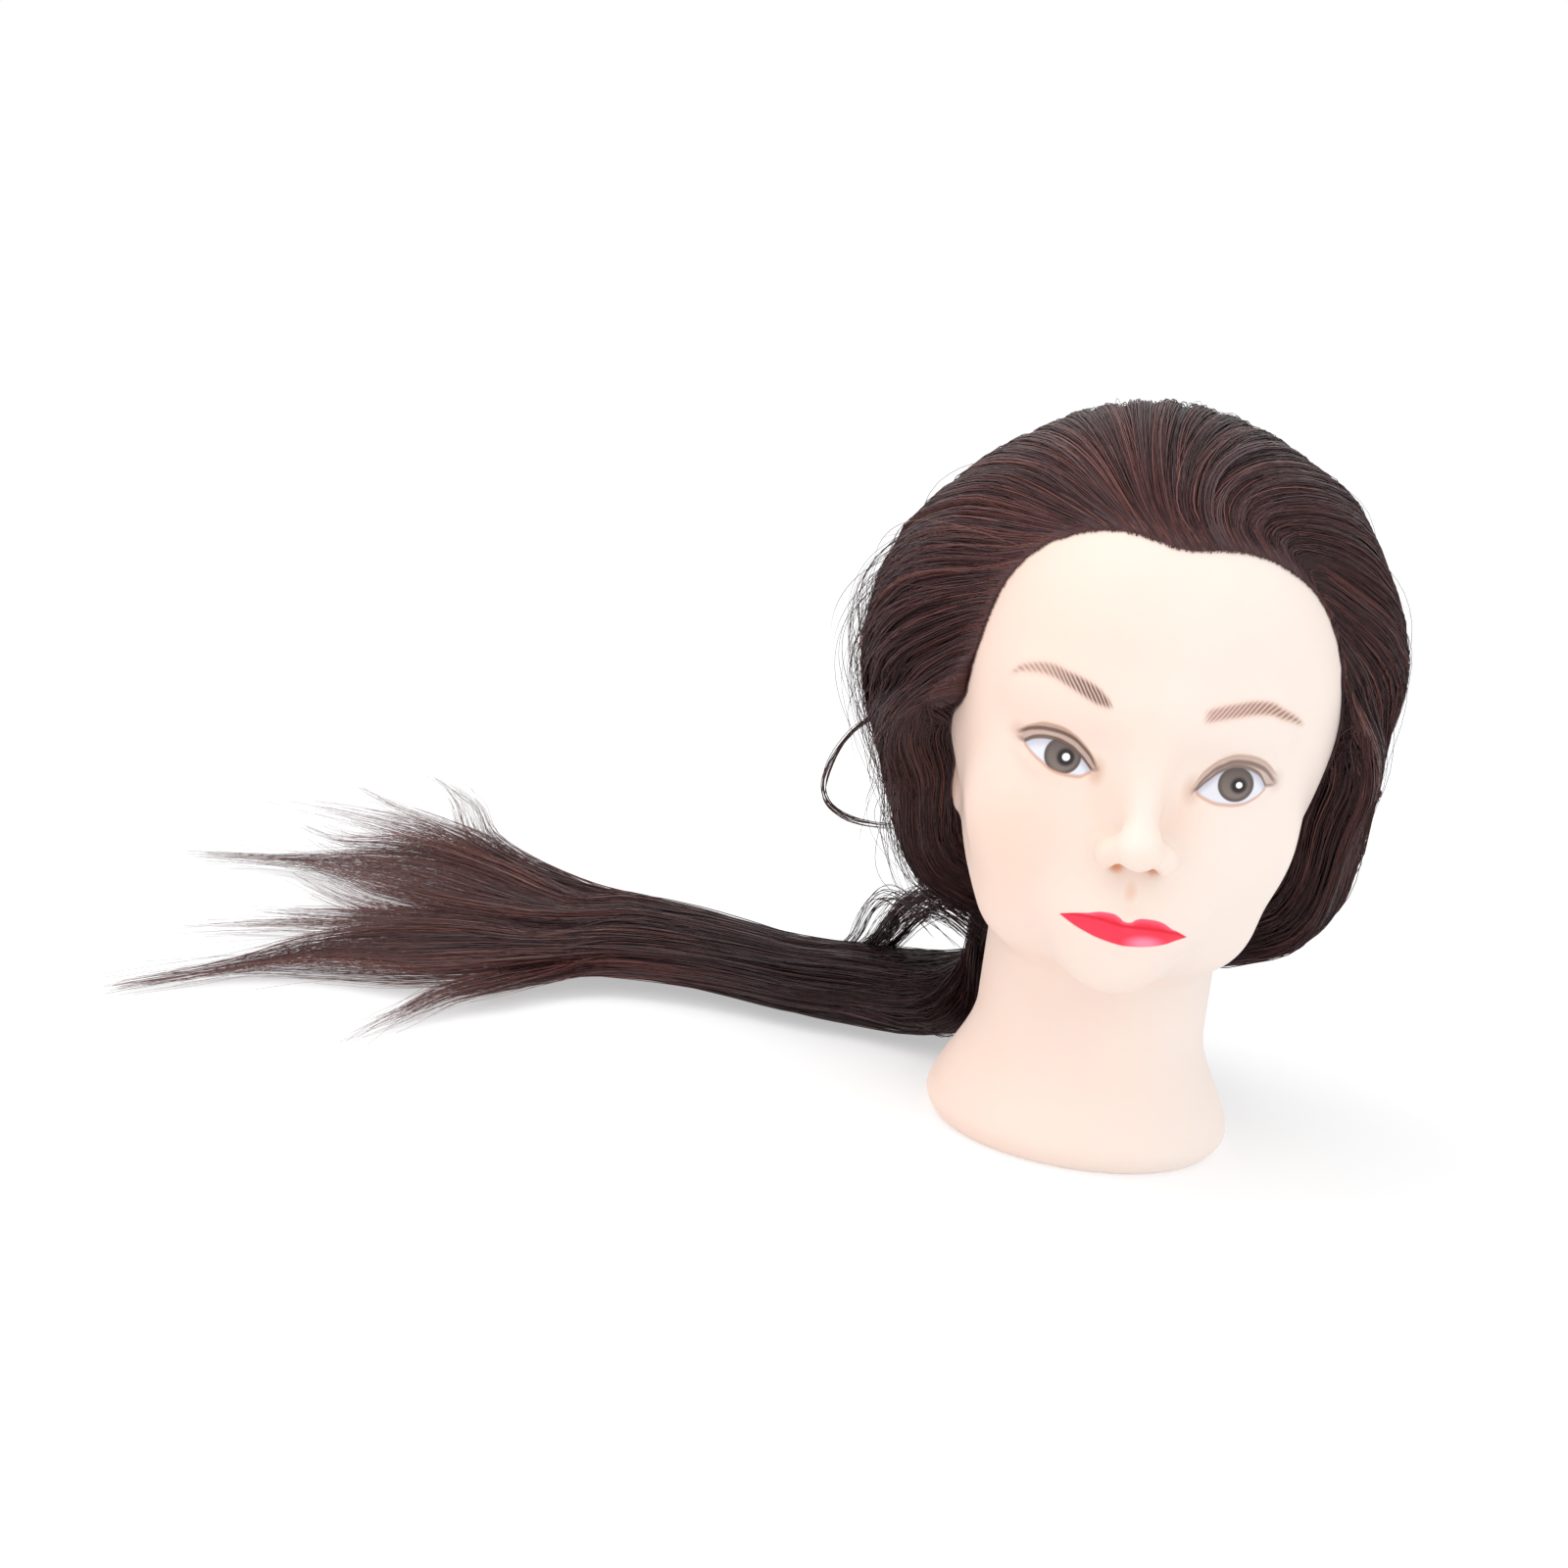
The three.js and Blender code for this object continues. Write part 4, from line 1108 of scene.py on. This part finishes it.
LOOP = np.array([(-86, 16, 160), (-92, 14, 146), (-104, 12, 134), (-111, 13, 118), (-109, 16, 106),
                 (-98, 22, 99), (-80, 28, 97)], float)
rng = default_rng(600)
spread = rng.normal(0, 0.6, (12, 1, 3)) + rng.normal(0, 0.45, (12, len(LOOP), 3))
free_lock("hair_loose_strand", rng, LOOP, spread, 34, (0.14, 0.2), ["loose_strand"])

# Locks that hang from the side hair onto the tail.
BRIDGE = np.array([(-46, 56, 56), (-58, 66, 60), (-68, 78, 57), (-76, 98, 44), (-82, 120, 27),
                   (-92, 138, 14)], float)
rng = default_rng(610)
count, groups = 150, 7
group = rng.integers(0, groups, count)
spread = rng.normal(0, 1, (groups, 1, 3))[group] * np.array([4.5, 2.5, 2.5])
spread = spread + rng.normal(0, 1, (count, 1, 3)) * 2.2
spread = spread * np.linspace(1.3, 0.5, len(BRIDGE))[None, :, None]
spread = spread + rng.normal(0, 0.3, (count, len(BRIDGE), 3))
free_lock("hair_hanging_lock", rng, BRIDGE, spread, 26, (0.12, 0.2))


# ---- inner parts kept from the CAD
def plain_part(name, low, high, scale, rough, bump_mm):
    m, tree, shader = new_material(name)
    vector, *_ = place(tree)
    spots = noise(vector, scale, 4)
    dress(shader, {"Base Color": mix(spots.ramp(0.3, 0.7), low, high),
                   "Roughness": spots * 0.2 + (rough - 0.1),
                   "Normal": relief(spots, 0.4, bump_mm * MM)})
    return m


PLASTIC = plain_part("base_plastic_moulded", (168, 110, 66), (196, 138, 92), 60, 0.5, 0.2)
FOAM = plain_part("foam_cells", (236, 222, 180), (246, 236, 204), 700, 0.85, 0.5)
for node, material in (("clamp_socket", PLASTIC), ("base_plate", PLASTIC), ("foam_core", FOAM)):
    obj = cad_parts[node]
    for slot in obj.material_slots:
        slot.material = material

# ---- stage, light and camera
paper, _, shader = new_material("studio_floor")
dress(shader, {"Base Color": (0.52, 0.52, 0.525, 1), "Emission Color": (1, 1, 1, 1),
               "Emission Strength": 0.46, "Roughness": 0.9})
corners = np.array([[-1, -1, 0], [1, -1, 0], [1, 1, 0], [-1, 1, 0]]) * 3000.0
make_mesh("studio_floor", corners, [np.array([[0, 1, 2, 3]])], [paper])

world = bpy.data.worlds.new("studio")
bpy.context.scene.world = world
world.use_nodes = True
dress(world.node_tree.nodes["Background"], {"Color": (1, 1, 1, 1), "Strength": 1.0})


def put(data, right, up, back, at):
    """An object for a light or camera, which looks away from back."""
    obj = bpy.data.objects.new(data.name, data)
    bpy.context.scene.collection.objects.link(obj)
    turn = np.eye(4)
    turn[:3] = np.stack([right, up, back, at], 1)
    obj.matrix_world = Matrix(turn.tolist())
    return obj


def softbox(name, at, aim, size, watts):
    light = bpy.data.lights.new(name, "AREA")
    light.shape = "RECTANGLE"
    light.size, light.size_y = size
    light.energy = watts
    ahead = unit(np.array(aim) - np.array(at))
    side = unit(np.cross(ahead, (0, 0, 1.0)))
    put(light, side, np.cross(side, ahead), -ahead, at)


sun = bpy.data.lights.new("overhead", "SUN")
sun.energy, sun.angle = 0.15, math.radians(60)
put(sun, *np.eye(3), np.zeros(3))
softbox("key", (0.9, -1.5, 1.5), (0, 0, 0.15), (1.2, 1.2), 5)
softbox("fill", (-1.4, -1.1, 1.1), (-0.1, 0, 0.12), (1.2, 1.0), 2.3)
softbox("top", (-0.8, 0.1, 1.7), (-0.05, 0.05, 0.15), (1.2, 0.8), 7.5)

CAMERA_AZ, CAMERA_EL, CAMERA_ROLL = (math.radians(a) for a in (2.0, 13.0, 8.0))
CAMERA_FAR = 1300.0
AIM_ACROSS, AIM_UP = -126.1, 2.42
back = np.array([math.sin(CAMERA_AZ) * math.cos(CAMERA_EL), -math.cos(CAMERA_AZ) * math.cos(CAMERA_EL),
                 math.sin(CAMERA_EL)])
level = np.array([math.cos(CAMERA_AZ), math.sin(CAMERA_AZ), 0.0])
rise = np.cross(back, level)
right = level * math.cos(CAMERA_ROLL) + rise * math.sin(CAMERA_ROLL)
up = -level * math.sin(CAMERA_ROLL) + rise * math.cos(CAMERA_ROLL)
eye = np.array([0, 0, 130.0]) + AIM_ACROSS * right + AIM_UP * up + CAMERA_FAR * back
camera = put(bpy.data.cameras.new("camera"), right, up, back, eye * MM)
camera.data.sensor_width = 36
camera.data.lens = 81.213
bpy.context.scene.camera = camera
bpy.context.scene.view_settings.view_transform = "Standard"
